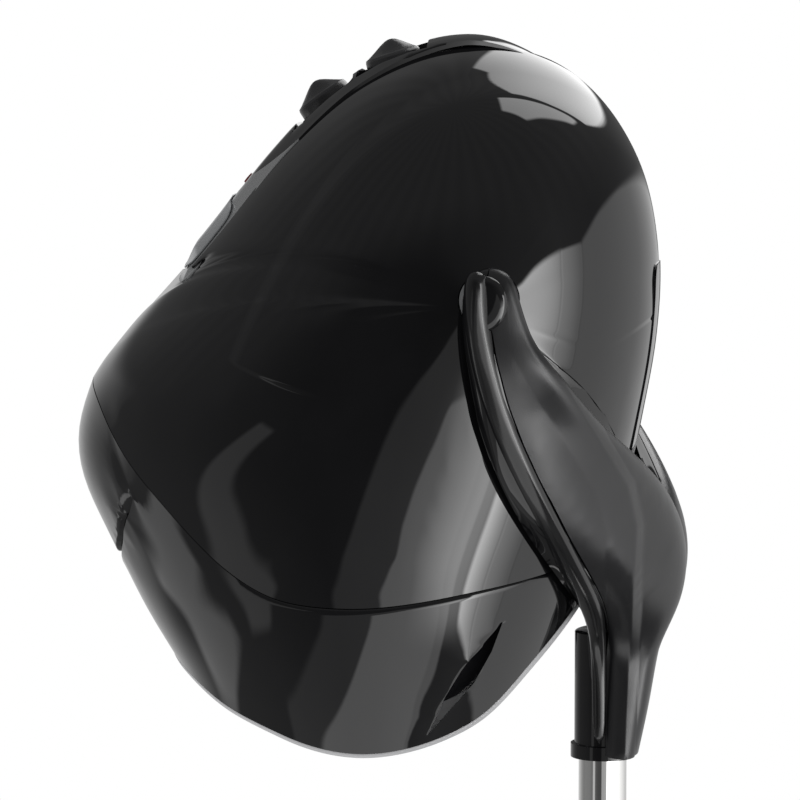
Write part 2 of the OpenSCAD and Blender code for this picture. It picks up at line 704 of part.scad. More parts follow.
// Depth of the gasket round the rim, as an angle about the hood's centre
gasket_table = mirrored([[0, 0.5], [60, 0.5], [110, 0.6], [150, 1.7], [180, 1.9]]);
module rim_gasket() {
    grid = around(skirt_cols, function (b) rim_at(b) + half_joint,
                  function (b) rim_at(b) + smooth_at(gasket_table, b), 1);
    color("#c9cacc")
    wall_between([for (row = grid) [for (d = row) hood_point(d, -gasket_proud)]],
                 [for (row = grid) [for (d = row) bowl_point(d, bowl_wall)]], true);
}

bowl_rows = 8;
bowl_mouth = 9;
module inner_bowl() {
    grid = around(skirt_cols, function (b) bowl_mouth, function (b) rim_at(b), bowl_rows);
    color("#3c3d40")
    wall_between([for (row = grid) [for (d = row) bowl_point(d)]],
                 [for (row = grid) [for (d = row) bowl_point(d, bowl_wall)]], true);
}

// Raised band along the crown between two side angles, with rounded corners. Its rows run across
// the crown, with points at the spots given as shares of its half width.
band_rows = 26;
band_gap = 0.8;
band_spot_shares = [-1, -0.5, 0, 0.5, 1];
function band_half(angle, from, to, half, corner, half_shares) =
    let (arc = hood_reach * PI / 180 * smooth_at(hood_shares, angle),
         left = min(angle - to, from - angle) * arc, c = min(1, max(0, left / corner)))
    half * lookup(angle, half_shares) - corner * (1 - sqrt(1 - pow(1 - c, 2)));
// The outer face is high above the shells, times rise_shares, and the inner face follows low_at
module crown_band(from, to, half, corner, high, low_at, spots = band_spot_shares,
                  half_shares = [[0, 1]], rise_shares = [[0, 1]]) {
    spread = [for (i = [0:band_rows]) mix(from, to, (1 - cos(180 * i / band_rows)) / 2)];
    function point(a, s, lift) =
        crown_point(a, s * band_half(a, from, to, half, corner, half_shares), lift);
    wall_between([for (a = spread) [for (s = spots) point(a, s, high * lookup(a, rise_shares))]],
                 [for (a = spread) [for (s = spots) point(a, s, low_at(a, s))]], false);
}

panel_corner = 12;
// Half width and height of the panel along its length, as shares of their full sizes
panel_half_shares = [[62, 0.3], [70, 0.5], [78, 0.64], [90, 0.81], [103, 0.89], [125, 1], [149, 1]];
panel_rise_shares = [[62, 0.15], [70, 0.5], [80, 0.85], [90, 1], [112, 1], [130, 0.7], [149, 0.5]];
// The panel is deeper under the knobs, which stand in a recess cut into it
panel_depth = 11;
deep_from = 77;
deep_to = 116;
deep_share = 0.86;
deep_end_share = 0.9;
panel_spot_shares = [-1, -deep_end_share, -deep_share, -0.5, 0, 0.5, deep_share, deep_end_share, 1];
knob_angles = [100.2, 87.6];
// Height of each knob's seat over the shells, and how far its axis leans back from upright to them
knob_seats = [-3, -7.5];
knob_lean = 6;
lamp_angle = 122;
function crown_turn(angle) =
    let (p = crown_point(angle - 1, 0), q = crown_point(angle + 1, 0)) atan2(q[0] - p[0], q[2] - p[2]) + 90;
// Places its children on the panel at a side angle, with +Z along the surface's outward normal
module on_crown(angle, lift, lean = 0) {
    translate(crown_point(angle, 0, lift)) rotate([0, crown_turn(angle) + lean, 0]) children();
}
module at_lamp() {
    on_crown(lamp_angle, panel_rise * lookup(lamp_angle, panel_rise_shares) + rest_gap) children();
}
module at_knob(k) {
    on_crown(knob_angles[k], knob_seats[k], knob_lean) children();
}

recess_near_share = 0.68;
recess_far = 22;
recess_long = 25;
module knob_recess(k) {
    near = recess_near_share * panel_half;
    at_knob(k) translate([-recess_long, -near, 0]) cube([2 * recess_long, near + recess_far, 2 * knob_h]);
}

module control_panel() {
    color("#1c1c1f")
    difference() {
        crown_band(panel_front, panel_rear, panel_half, panel_corner, panel_rise,
                   function (a, s)
                       a > deep_from && a < deep_to && abs(s) <= deep_share ? -panel_depth : band_gap,
                   panel_spot_shares, panel_half_shares, panel_rise_shares);
        for (k = [0, 1]) {
            knob_recess(k);
            at_knob(k) translate([0, 0, -knob_h])
            cylinder(d = shaft_d + 2 * rest_gap, h = 2 * knob_h, $fn = steps);
        }
        at_lamp() translate([0, 0, -knob_h])
        cylinder(d = lamp_lens_d / 2 + 2 * fit, h = 2 * knob_h, $fn = steps);
    }
}

plate_edge = 12;
// Angles that the plate leaves free at the panel's front end and round the lamp
plate_margin = 3;
lamp_margin = 4;
plate_h = 0.8;
plate_gap = 0.45;
module panel_plate() {
    color("#9a9da1")
    crown_band(panel_front - plate_margin, lamp_angle + lamp_margin, panel_half - plate_edge,
               panel_corner - plate_h, 1,
               function (a, s) panel_rise * lookup(a, panel_rise_shares) + plate_gap,
               band_spot_shares, [[0, 1]],
               [for (p = panel_rise_shares) [p[0], panel_rise * p[1] + plate_gap + plate_h]]);
}

module indicator_lamp() {
    color("#b3372a")
    at_lamp() {
        cylinder(d = lamp_lens_d, h = fork_wall / 2, $fn = steps);
        translate([0, 0, -panel_rise]) cylinder(d = lamp_lens_d / 2, h = panel_rise + overrun, $fn = steps);
    }
}

switch_d = 30;
switch_h = 26;
shaft_in = 12;
// Depth of the switches under their knobs' seats
switch_gap = 4;
switch_depths = [for (seat = knob_seats) panel_depth + seat + switch_gap];
module control_switch(k) {
    color("#d8d5c8")
    at_knob(k) translate([0, 0, -switch_depths[k] - switch_h])
    difference() {
        cylinder(d = switch_d, h = switch_h, $fn = steps);
        translate([0, 0, switch_h - shaft_in]) cylinder(d = shaft_d + 2 * fit, h = switch_h, $fn = steps);
    }
}

shaft_share = 0.6;
module control_shaft(k) {
    foot = switch_depths[k] + shaft_in - fit;
    color("#b6b8ba")
    at_knob(k) translate([0, 0, -foot]) cylinder(d = shaft_d, h = foot + knob_h * shaft_share, $fn = steps);
}

grip_share = 0.42;
knob_skirt_share = 0.45;
module control_knob(k) {
    grip_foot = knob_h * knob_skirt_share - overrun / 2;
    color("#18181a")
    at_knob(k) translate([0, 0, rest_gap])
    difference() {
        union() {
            cylinder(d = knob_d, h = knob_h * knob_skirt_share, $fn = steps);
            intersection() {
                translate([0, 0, grip_foot]) cylinder(d = knob_d, h = knob_h - grip_foot, $fn = steps);
                translate([-knob_d, -knob_d * grip_share / 2, 0])
                cube([2 * knob_d, knob_d * grip_share, knob_h]);
            }
        }
        translate([0, 0, -overrun])
        cylinder(d = shaft_d + 2 * fit, h = knob_h * shaft_share + overrun, $fn = steps);
    }
}

module tank_cover() {
    color("#1c1c1f")
    crown_band(cover_top, cover_foot, cover_half, panel_corner, cover_rise, function (a, s) band_gap);
}

/* Steam unit, on a plate that rests on the cross bar */
plate_back = 30;
plate_x = hood_x + plate_back;
plate_z = pivot_z + bar_d / 2;
plate_wall = 3;
plate_long = 170;
plate_half = 100;
unit_z = plate_z + plate_wall;
module chassis_plate() {
    color("#a3a5a8")
    difference() {
        translate([plate_x - plate_long / 2, -plate_half, plate_z])
        cube([plate_long, 2 * plate_half, plate_wall]);
        translate([hood_x, 0, plate_z - overrun])
        cylinder(d = pipe_d + 2 * rest_gap, h = plate_wall + 2 * overrun, $fn = steps);
        for (p = screw_places) translate([p[0], p[1], plate_z - overrun])
        cylinder(d = boiler_screw_d + 2 * fit, h = plate_wall + 2 * overrun, $fn = steps);
    }
}

boiler_wall = 2;
boiler_flange = 8;
boiler_foot = boiler_d + 2 * boiler_flange;
boiler_screw_d = 4;
boiler_screw_head_d = 7;
screw_reach = boiler_d / 2 + boiler_flange / 2;
screw_places = [for (a = [45:90:315]) [hood_x + screw_reach * cos(a), screw_reach * sin(a)]];
module boiler() {
    color("#c2c4c6")
    translate([hood_x, 0, unit_z])
    difference() {
        union() {
            cylinder(d = boiler_d, h = boiler_h, $fn = steps);
            cylinder(d = boiler_foot, h = boiler_wall, $fn = steps);
        }
        translate([0, 0, boiler_wall]) cylinder(d = boiler_d - 2 * boiler_wall, h = boiler_h, $fn = steps);
        translate([0, 0, -overrun])
        cylinder(d = pipe_d + 2 * fit, h = boiler_wall + 2 * overrun, $fn = steps);
        translate([0, 0, feed_rise]) rotate([0, 90, 0])
        cylinder(d = feed_d + 2 * fit, h = boiler_d, $fn = steps);
        for (p = screw_places) translate([p[0] - hood_x, p[1], -overrun])
        cylinder(d = boiler_screw_d + 2 * fit, h = boiler_wall + 2 * overrun, $fn = steps);
    }
}

module chassis_screws() {
    shank = plate_wall + 2 * boiler_wall + fit;
    color("#d0d0d0")
    for (p = screw_places) translate([p[0], p[1], plate_z - boiler_wall]) {
        cylinder(d = boiler_screw_d, h = shank, $fn = steps);
        translate([0, 0, shank]) cylinder(d = boiler_screw_head_d, h = boiler_wall, $fn = steps);
    }
}

lid_h = 5;
module boiler_lid() {
    color("#d5d7d9")
    translate([hood_x, 0, unit_z + boiler_h])
    union() {
        cylinder(d = boiler_d + 2 * boiler_wall, h = lid_h, $fn = steps);
        translate([0, 0, -lid_h])
        tube(boiler_d - 2 * boiler_wall - 2 * fit, boiler_d - 4 * boiler_wall, lid_h);
    }
}

element_d = 6;
element_ring = 32;
module heating_element() {
    color("#7b5a43")
    translate([hood_x, 0, unit_z + boiler_wall]) {
        translate([0, 0, boiler_h / 4]) rotate_extrude($fn = steps)
        translate([element_ring, 0]) circle(d = element_d, $fn = steps / 2);
        for (side = [-1, 1]) translate([0, side * element_ring, 0])
        cylinder(d = element_d, h = boiler_h / 4, $fn = steps);
    }
}

diffuser_h = 8;
diffuser_drop = 8;
bowl_crown = hood_z + hood_reach * smooth_at(bowl_shares, 90);
diffuser_z = bowl_crown - bowl_wall - diffuser_drop - diffuser_h;
module steam_pipe() {
    color("#c8a26a")
    translate([hood_x, 0, diffuser_z + diffuser_h + diffuser_drop / 2])
    tube(pipe_d, pipe_d - fork_wall, unit_z + boiler_h * 0.75 - diffuser_z - diffuser_h - diffuser_drop / 2);
}

diffuser_holes = 12;
diffuser_hole_d = 6;
pipe_cut = diffuser_h + diffuser_drop + bowl_wall + 2 * overrun;
module steam_diffuser() {
    color("#dcdddf")
    translate([hood_x, 0, diffuser_z])
    difference() {
        union() {
            cylinder(d = diffuser_d, h = diffuser_h, $fn = steps);
            cylinder(d = pipe_d + 2 * fork_wall, h = diffuser_h + diffuser_drop + bowl_wall, $fn = steps);
        }
        translate([0, 0, diffuser_h]) cylinder(d = pipe_d + 2 * fit, h = pipe_cut, $fn = steps);
        translate([0, 0, -overrun]) cylinder(d = pipe_d - fork_wall, h = pipe_cut, $fn = steps);
        for (i = [1:diffuser_holes]) rotate([0, 0, 360 / diffuser_holes * i])
        translate([diffuser_d / 3, 0, -overrun])
        cylinder(d = diffuser_hole_d, h = diffuser_h + 2 * overrun, $fn = steps);
    }
}

// Side outline of the water tank as shares of the hood's reach, from the hood's centre
tank_shares = [[0.49, -0.17], [0.6, -0.17], [0.64, 0.08], [0.67, 0.3], [0.66, 0.46], [0.49, 0.46]];
// Inside of the tank, one wall's thickness in from each of its sides
tank_inside_shares = [[0.5, -0.16], [0.591, -0.16], [0.63, 0.081], [0.66, 0.299], [0.651, 0.45], [0.5, 0.45]];
tank_wall = 2.5;
tank_front = hood_x + hood_reach * tank_shares[0][0];
module tank_side(half, shares) {
    translate([hood_x, half, hood_z]) rotate([90, 0, 0]) linear_extrude(height = 2 * half)
    polygon(shares * hood_reach);
}
feed_d = 10;
feed_rise = 14;
cap_neck_d = 30;
tank_top = hood_z + hood_reach * tank_shares[5][1];
cap_x = hood_x + hood_reach * (tank_shares[0][0] + tank_shares[4][0]) / 2;
module water_tank() {
    color("#a9c4d6")
    difference() {
        tank_side(tank_half, tank_shares);
        tank_side(tank_half - tank_wall, tank_inside_shares);
        translate([cap_x, 0, tank_top - overrun - tank_wall])
        cylinder(d = cap_neck_d, h = lid_h * 2, $fn = steps);
        translate([tank_front - overrun, 0, unit_z + feed_rise]) rotate([0, 90, 0])
        cylinder(d = feed_d + 2 * fit, h = tank_wall + 2 * overrun, $fn = steps);
    }
}

module tank_cap() {
    color("#2d5f86")
    translate([cap_x, 0, tank_top + fit]) {
        cylinder(d = cap_neck_d + 2 * fork_wall, h = lid_h, $fn = steps);
        translate([0, 0, -tank_wall])
        cylinder(d = cap_neck_d - 2 * fit, h = tank_wall + overrun, $fn = steps);
    }
}

module feed_pipe() {
    from = hood_x + boiler_d / 2 - boiler_wall;
    color("#d9d9d0")
    translate([from, 0, unit_z + feed_rise]) rotate([0, 90, 0])
    tube(feed_d, feed_d - fork_wall, tank_front + tank_wall - from);
}

lamp_back = 88;
lamp_x = hood_x + lamp_back;
lamp_rise = 32;
holder_w = 8;
module ozone_tube() {
    color("#cfd8ff")
    translate([lamp_x, tube_l / 2, unit_z + lamp_rise]) rotate([90, 0, 0])
    cylinder(d = tube_d, h = tube_l, $fn = steps);
}

module ozone_holders() {
    color("#e4e4e0")
    for (side = [-1, 1])
    difference() {
        translate([lamp_x - tube_d, side * (tube_l / 2 - holder_w / 2) - holder_w / 2, unit_z])
        cube([2 * tube_d, holder_w, lamp_rise + tube_d]);
        translate([lamp_x, tube_l / 2 + overrun, unit_z + lamp_rise]) rotate([90, 0, 0])
        cylinder(d = tube_d + 2 * fit, h = tube_l + 2 * overrun, $fn = steps);
    }
}

board_wall = 1.6;
board_long = 60;
board_half = 24;
board_ahead = 10;
board_x = plate_x - board_ahead;
module control_board() {
    color("#2f6b45")
    translate([board_x - board_long / 2, boiler_foot / 2 + overrun, unit_z]) {
        cube([board_long, board_wall, 2 * board_half]);
        translate([board_long / 4, board_wall, board_half])
        cube([board_long / 3, board_half / 2, board_half / 2]);
        translate([board_long / 4, board_wall, 0])
        cube([board_long / 2, board_half / 3, board_half / 4]);
    }
}

star_base();
hub_cover();
cable_gland();
lower_tube();
tube_bush();
clamp_collar();
clamp_knob();
castor_fork(1);  // castor_fork_1
castor_fork(2);  // castor_fork_2
castor_fork(3);  // castor_fork_3
castor_fork(4);  // castor_fork_4
castor_fork(5);  // castor_fork_5
castor_wheel(1);  // castor_wheel_1
castor_wheel(2);  // castor_wheel_2
castor_wheel(3);  // castor_wheel_3
castor_wheel(4);  // castor_wheel_4
castor_wheel(5);  // castor_wheel_5
mast_tube();
pole_socket();
on_side(-1) yoke_frame();  // yoke_frame_r
on_side(1) yoke_frame();  // yoke_frame_l
on_side(-1) arm_cover();  // arm_cover_r
on_side(1) arm_cover();  // arm_cover_l
on_side(-1) tilt_bolt();  // tilt_bolt_r
on_side(1) tilt_bolt();  // tilt_bolt_l
on_side(-1) friction_washer();  // friction_washer_r
on_side(1) friction_washer();  // friction_washer_l
on_side(-1) pivot_cap();  // pivot_cap_r
on_side(1) pivot_cap();  // pivot_cap_l
on_side(-1) pivot_boss();  // pivot_boss_r
on_side(1) pivot_boss();  // pivot_boss_l
cross_bar();
on_side(-1) side_shell();  // side_shell_r
on_side(1) side_shell();  // side_shell_l
lower_skirt();
rim_gasket();
inner_bowl();
control_panel();
panel_plate();
indicator_lamp();
control_switch(0);  // timer_switch
control_shaft(0);  // timer_shaft
control_knob(0);  // timer_knob
control_switch(1);  // heat_switch
control_shaft(1);  // heat_shaft
control_knob(1);  // heat_knob
tank_cover();
water_tank();
tank_cap();
chassis_plate();
boiler();
boiler_lid();
heating_element();
steam_pipe();
steam_diffuser();
feed_pipe();
ozone_tube();
ozone_holders();
control_board();
chassis_screws();
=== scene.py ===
"""Looks of the ozone hair steamer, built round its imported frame. Lengths are in metres."""
import json
import math

import bpy
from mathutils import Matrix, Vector, kdtree


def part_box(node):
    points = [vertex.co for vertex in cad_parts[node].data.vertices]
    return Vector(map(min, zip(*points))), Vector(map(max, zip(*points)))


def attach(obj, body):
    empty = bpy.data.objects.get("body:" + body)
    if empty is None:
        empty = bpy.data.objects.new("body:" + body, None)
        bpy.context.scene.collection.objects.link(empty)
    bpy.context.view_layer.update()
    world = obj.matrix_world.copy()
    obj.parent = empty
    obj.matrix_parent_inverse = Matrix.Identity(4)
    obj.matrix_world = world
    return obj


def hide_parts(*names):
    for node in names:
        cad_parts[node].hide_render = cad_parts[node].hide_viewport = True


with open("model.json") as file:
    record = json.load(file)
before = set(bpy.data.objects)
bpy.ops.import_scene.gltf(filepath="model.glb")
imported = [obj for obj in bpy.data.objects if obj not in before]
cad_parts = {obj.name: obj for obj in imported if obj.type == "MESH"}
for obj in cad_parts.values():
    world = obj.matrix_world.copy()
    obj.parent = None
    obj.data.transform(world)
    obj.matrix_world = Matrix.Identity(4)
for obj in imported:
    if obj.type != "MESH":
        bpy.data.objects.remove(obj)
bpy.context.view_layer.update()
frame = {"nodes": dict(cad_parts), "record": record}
# Middle of the hood and of its tilt hinge
HOOD = Vector((-0.145, 0.0, 1.238))
HINGE = Vector((-0.065, 0.0, 1.315))

# Camera, with the photograph's distance and angles
VIEW_TARGET = Vector((-0.1364, 0.0, 1.238))
VIEW_DISTANCE = 2.4
VIEW_YAW = math.radians(5.5)
VIEW_DROP = math.radians(5.0)
LENS_MM = 161.7
SENSOR_MM = 36.0


def make_camera():
    data = bpy.data.cameras.new("view")
    data.lens = LENS_MM
    data.sensor_width = SENSOR_MM
    camera = bpy.data.objects.new("view", data)
    bpy.context.scene.collection.objects.link(camera)
    forward = Vector((
        -math.sin(VIEW_YAW) * math.cos(VIEW_DROP),
        math.cos(VIEW_YAW) * math.cos(VIEW_DROP),
        -math.sin(VIEW_DROP),
    ))
    camera.location = VIEW_TARGET - forward * VIEW_DISTANCE
    camera.rotation_mode = "QUATERNION"
    camera.rotation_quaternion = forward.to_track_quat("-Z", "Y")
    bpy.context.scene.camera = camera
    bpy.context.scene.view_settings.view_transform = "Standard"


# Light and studio, as the gloss shells mirror it

# Each window of light: its corners as azimuth and elevation in degrees, seen from the hood, with azimuth
# counted from the camera's side (-Y) towards +X; the blur of its edges; and its brightness at two azimuths
WINDOWS = {
    "rear_skylight": (((101, 70), (131.5, 70), (131.5, 36), (127, 38), (104, 60)), 0.03,
                      (104, 3.0), (131, 3.1)),
    "rear_door": (((137, 46), (146, 60), (179, 56), (179, 5), (164, 14), (148, 24), (137, 31)), 0.03,
                  (145, 3.0), (178, 1.8)),
    "side_window": (((57, 12), (72, 13), (72, -34), (60, -30)), 0.05, (58, 8.0), (72, 3.3)),
    "side_wall": (((72, 13), (88, 12), (88, -40), (72, -34)), 0.03, (72, 3.2), (88, 1.1)),
    "rear_wall": (((88, 12), (104, 17), (130, 16), (150, 10), (175, 1), (175, -34), (88, -40)), 0.05,
                  (88, 1.05), (140, 0.52)),
    "sunlit_floor": (((24, -8), (57, -6), (68, -25), (66, -60), (0, -80), (-100, -70), (-62, -50)), 0.03,
                     (-60, 1.1), (60, 1.25)),
    "floor_glow": (((26, -2), (60, -2), (64, -28), (20, -28)), 0.25, (24, 0.3), (50, 4.2)),
    "grey_floor": (((15, 5), (30, -3), (60, -20), (60, -60), (0, -85), (-120, -75), (-115, -52), (-66, -42)),
                   0.03, (-60, 0.22), (20, 0.33)),
    "low_streak": (((-70, -31), (-32, 2), (-27, -3), (-56, -31)), 0.04, (-60, 0.42), (-30, 0.36)),
    "left_wall": (((-178, 0), (-150, 12), (-125, 20), (-108, 20), (-104, -20), (-112, -28), (-160, -22),
                   (-178, -8)), 0.12, (-150, 0.5), (-112, 0.08)),
    "left_strip": (((-122, -27), (-90, -26), (-80, -31), (-108, -34)), 0.04, (-120, 0.8), (-90, 0.8)),
}
# Brightness of the room round the windows: low down by azimuth; high up, with the share and the spacing of
# its faint folds; and between which heights the one gives way to the other
ROOM_LOW = ((-180, 0.1), (-90, 0.22), (-62, 0.2), (-20, 0.07), (8, 0.06), (70, 0.28), (100, 0.16), (180, 0.1))
ROOM_HIGH = 0.22
ROOM_FOLDS = 0.05
FOLD_WAVES = 0.55
ROOM_CHANGE = (0.3, 0.7)
# Even level that matt surfaces see, and the white that the camera sees
AMBIENT = 0.8
BACKDROP = 1.0
DEGREE = math.pi / 180


def towards(azimuth, elevation):
    a, e = azimuth * DEGREE, elevation * DEGREE
    return Vector((math.sin(a) * math.cos(e), -math.cos(a) * math.cos(e), math.sin(e)))


def math_node(tree, operation, first, second=None):
    node = tree.nodes.new("ShaderNodeMath")
    node.operation = operation
    for i, value in enumerate((first, second)):
        if isinstance(value, (int, float)):
            node.inputs[i].default_value = value
        elif value is not None:
            tree.links.new(value, node.inputs[i])
    return node.outputs[0]


def ranged(tree, value, low, high, bottom, top, smooth=False):
    node = tree.nodes.new("ShaderNodeMapRange")
    if smooth:
        node.interpolation_type = "SMOOTHSTEP"
    tree.links.new(value, node.inputs["Value"])
    for title, setting in zip(("From Min", "From Max", "To Min", "To Max"), (low, high, bottom, top)):
        node.inputs[title].default_value = setting
    return node.outputs[0]


def window_light(tree, direction, azimuth, corners, blur, first, last):
    """Light of one window: the product of the sides of its edges, times its brightness."""
    points = [towards(a, e) for a, e in corners]
    middle = sum(points, Vector())
    light = ranged(tree, azimuth, first[0], last[0], first[1], last[1])
    for one, other in zip(points, points[1:] + points[:1]):
        normal = one.cross(other).normalized()
        if normal.dot(middle) < 0:
            normal = -normal
        across = tree.nodes.new("ShaderNodeVectorMath")
        across.operation = "DOT_PRODUCT"
        across.inputs[1].default_value = normal
        tree.links.new(direction, across.inputs[0])
        inside = ranged(tree, across.outputs["Value"], -blur / 2, blur / 2, 0, 1, True)
        light = math_node(tree, "MULTIPLY", light, inside)
    return light


def room_light(tree, azimuth, height):
    """The dim room: by azimuth low down, and with faint folds high up."""
    ramp = tree.nodes.new("ShaderNodeValToRGB")
    stops = ramp.color_ramp.elements
    while len(stops) < len(ROOM_LOW):
        stops.new(0.5)
    for stop, (a, level) in zip(stops, ROOM_LOW):
        stop.position = (a + 180) / 360
        stop.color = (level, level, level, 1)
    tree.links.new(ranged(tree, azimuth, -180, 180, 0, 1), ramp.inputs["Fac"])
    folds = math_node(tree, "SINE", math_node(tree, "MULTIPLY", azimuth, FOLD_WAVES))
    cloth = math_node(tree, "ADD", math_node(tree, "MULTIPLY", folds, ROOM_HIGH * ROOM_FOLDS), ROOM_HIGH)
    mix = tree.nodes.new("ShaderNodeMix")
    tree.links.new(ranged(tree, height, *ROOM_CHANGE, 0, 1, True), mix.inputs["Factor"])
    tree.links.new(ramp.outputs["Color"], mix.inputs["A"])
    tree.links.new(cloth, mix.inputs["B"])
    return mix.outputs["Result"]


def make_world():
    world = bpy.data.worlds.new("studio")
    bpy.context.scene.world = world
    world.use_nodes = True
    tree = world.node_tree
    tree.nodes.clear()
    direction = tree.nodes.new("ShaderNodeTexCoord").outputs["Generated"]
    split = tree.nodes.new("ShaderNodeSeparateXYZ")
    tree.links.new(direction, split.inputs[0])
    ahead = math_node(tree, "MULTIPLY", split.outputs["Y"], -1)
    azimuth = math_node(tree, "DEGREES", math_node(tree, "ARCTAN2", split.outputs["X"], ahead))
    mirrored = room_light(tree, azimuth, split.outputs["Z"])
    for corners, blur, first, last in WINDOWS.values():
        light = window_light(tree, direction, azimuth, corners, blur, first, last)
        mirrored = math_node(tree, "ADD", mirrored, light)
    path = tree.nodes.new("ShaderNodeLightPath")
    sees = math_node(tree, "MAXIMUM", path.outputs["Is Glossy Ray"], path.outputs["Is Transmission Ray"])
    level = tree.nodes.new("ShaderNodeMix")
    level.inputs["A"].default_value = AMBIENT
    tree.links.new(sees, level.inputs["Factor"])
    tree.links.new(mirrored, level.inputs["B"])
    backdrop = tree.nodes.new("ShaderNodeMix")
    backdrop.inputs["B"].default_value = BACKDROP
    tree.links.new(path.outputs["Is Camera Ray"], backdrop.inputs["Factor"])
    tree.links.new(level.outputs["Result"], backdrop.inputs["A"])
    sky = tree.nodes.new("ShaderNodeBackground")
    sky.inputs["Color"].default_value = (1, 1, 1, 1)
    tree.links.new(backdrop.outputs["Result"], sky.inputs["Strength"])
    out = tree.nodes.new("ShaderNodeOutputWorld")
    tree.links.new(sky.outputs[0], out.inputs["Surface"])


# Finishes

# Noise levels between which a tone wears and a polish is wiped
TONE_SPREAD = (0.45, 0.75)
POLISH_SPREAD = (0.12, 0.45)
# How much finer the noise of scratches and of a brushed grain is along x, y and z
SCRATCHES = (3.0, 60.0, 9.0)
BRUSH_LINES = (1.0, 1.0, 0.02)
# Places of the sockets of a mix of colours, and of a mix of values
COLOUR_PAIR, COLOUR_OUT = (6, 7), 2
VALUE_PAIR, VALUE_OUT = (2, 3), 0


def new_group(name, inputs, outputs):
    group = bpy.data.node_groups.new(name, "ShaderNodeTree")
    for kind, title, value in inputs:
        socket = group.interface.new_socket(title, in_out="INPUT", socket_type="NodeSocket" + kind)
        if value is not None:
            socket.default_value = value
    for kind, title in outputs:
        group.interface.new_socket(title, in_out="OUTPUT", socket_type="NodeSocket" + kind)
    return group, group.nodes.new("NodeGroupInput"), group.nodes.new("NodeGroupOutput")


def noise_in(group, start, detail, stretch=None):
    """A noise in the group, over the group's own coordinates, and finer where stretch says."""
    noise = group.nodes.new("ShaderNodeTexNoise")
    noise.inputs["Detail"].default_value = detail
    if stretch:
        lay = group.nodes.new("ShaderNodeVectorMath")
        lay.operation = "MULTIPLY"
        lay.inputs[1].default_value = stretch
        group.links.new(start.outputs["Place"], lay.inputs[0])
        group.links.new(lay.outputs[0], noise.inputs["Vector"])
    else:
        group.links.new(start.outputs["Place"], noise.inputs["Vector"])
    group.links.new(start.outputs["Scale"], noise.inputs["Scale"])
    return noise


def tone_group():
    """Colour that drifts a little over the moulding, as pigment and handling leave it."""
    group, start, end = new_group(
        "pigment_drift",
        [("Vector", "Place", None), ("Color", "Tone", (0.5, 0.5, 0.5, 1)),
         ("Color", "Worn", (0.6, 0.6, 0.6, 1)), ("Float", "Scale", 20.0), ("Float", "Wear", 0.1)],
        [("Color", "Colour")])
    noise = noise_in(group, start, 5.0)
    spread = group.nodes.new("ShaderNodeMapRange")
    spread.inputs["From Min"].default_value = TONE_SPREAD[0]
    spread.inputs["From Max"].default_value = TONE_SPREAD[1]
    group.links.new(noise.outputs["Fac"], spread.inputs["Value"])
    amount = group.nodes.new("ShaderNodeMath")
    amount.operation = "MULTIPLY"
    group.links.new(spread.outputs[0], amount.inputs[0])
    group.links.new(start.outputs["Wear"], amount.inputs[1])
    mix = group.nodes.new("ShaderNodeMix")
    mix.data_type = "RGBA"
    group.links.new(amount.outputs[0], mix.inputs["Factor"])
    group.links.new(start.outputs["Tone"], mix.inputs[COLOUR_PAIR[0]])
    group.links.new(start.outputs["Worn"], mix.inputs[COLOUR_PAIR[1]])
    group.links.new(mix.outputs[COLOUR_OUT], end.inputs["Colour"])
    return group


def polish_group():
    """Roughness with wiped patches and fine scratches along one direction."""
    group, start, end = new_group(
        "wiped_polish",
        [("Vector", "Place", None), ("Float", "Smooth", 0.05), ("Float", "Rough", 0.1),
         ("Float", "Scale", 12.0)],
        [("Float", "Roughness")])
    cloud = noise_in(group, start, 4.0)
    scratch = noise_in(group, start, 8.0, SCRATCHES)
    both = group.nodes.new("ShaderNodeMath")
    both.operation = "MULTIPLY"
    group.links.new(cloud.outputs["Fac"], both.inputs[0])
    group.links.new(scratch.outputs["Fac"], both.inputs[1])
    spread = group.nodes.new("ShaderNodeMapRange")
    spread.inputs["From Min"].default_value = POLISH_SPREAD[0]
    spread.inputs["From Max"].default_value = POLISH_SPREAD[1]
    group.links.new(both.outputs[0], spread.inputs["Value"])
    group.links.new(start.outputs["Smooth"], spread.inputs["To Min"])
    group.links.new(start.outputs["Rough"], spread.inputs["To Max"])
    group.links.new(spread.outputs[0], end.inputs["Roughness"])
    return group


def grain_group():
    """Height of a moulded or brushed grain."""
    group, start, end = new_group(
        "moulded_grain",
        [("Vector", "Place", None), ("Float", "Scale", 600.0), ("Float", "Along", 0.0)],
        [("Float", "Height")])
    pebble = noise_in(group, start, 2.0)
    brushed = noise_in(group, start, 3.0, BRUSH_LINES)
    mix = group.nodes.new("ShaderNodeMix")
    group.links.new(start.outputs["Along"], mix.inputs["Factor"])
    group.links.new(pebble.outputs["Fac"], mix.inputs["A"])
    group.links.new(brushed.outputs["Fac"], mix.inputs["B"])
    group.links.new(mix.outputs["Result"], end.inputs["Height"])
    return group


# Scales of the noise under tone and polish, and the finishes whose grain is brushed, not moulded
TONE_SCALE = 9.0
POLISH_SCALE = 6.0
BRUSHED = ("steel", "aluminium", "chrome", "silver_plate")
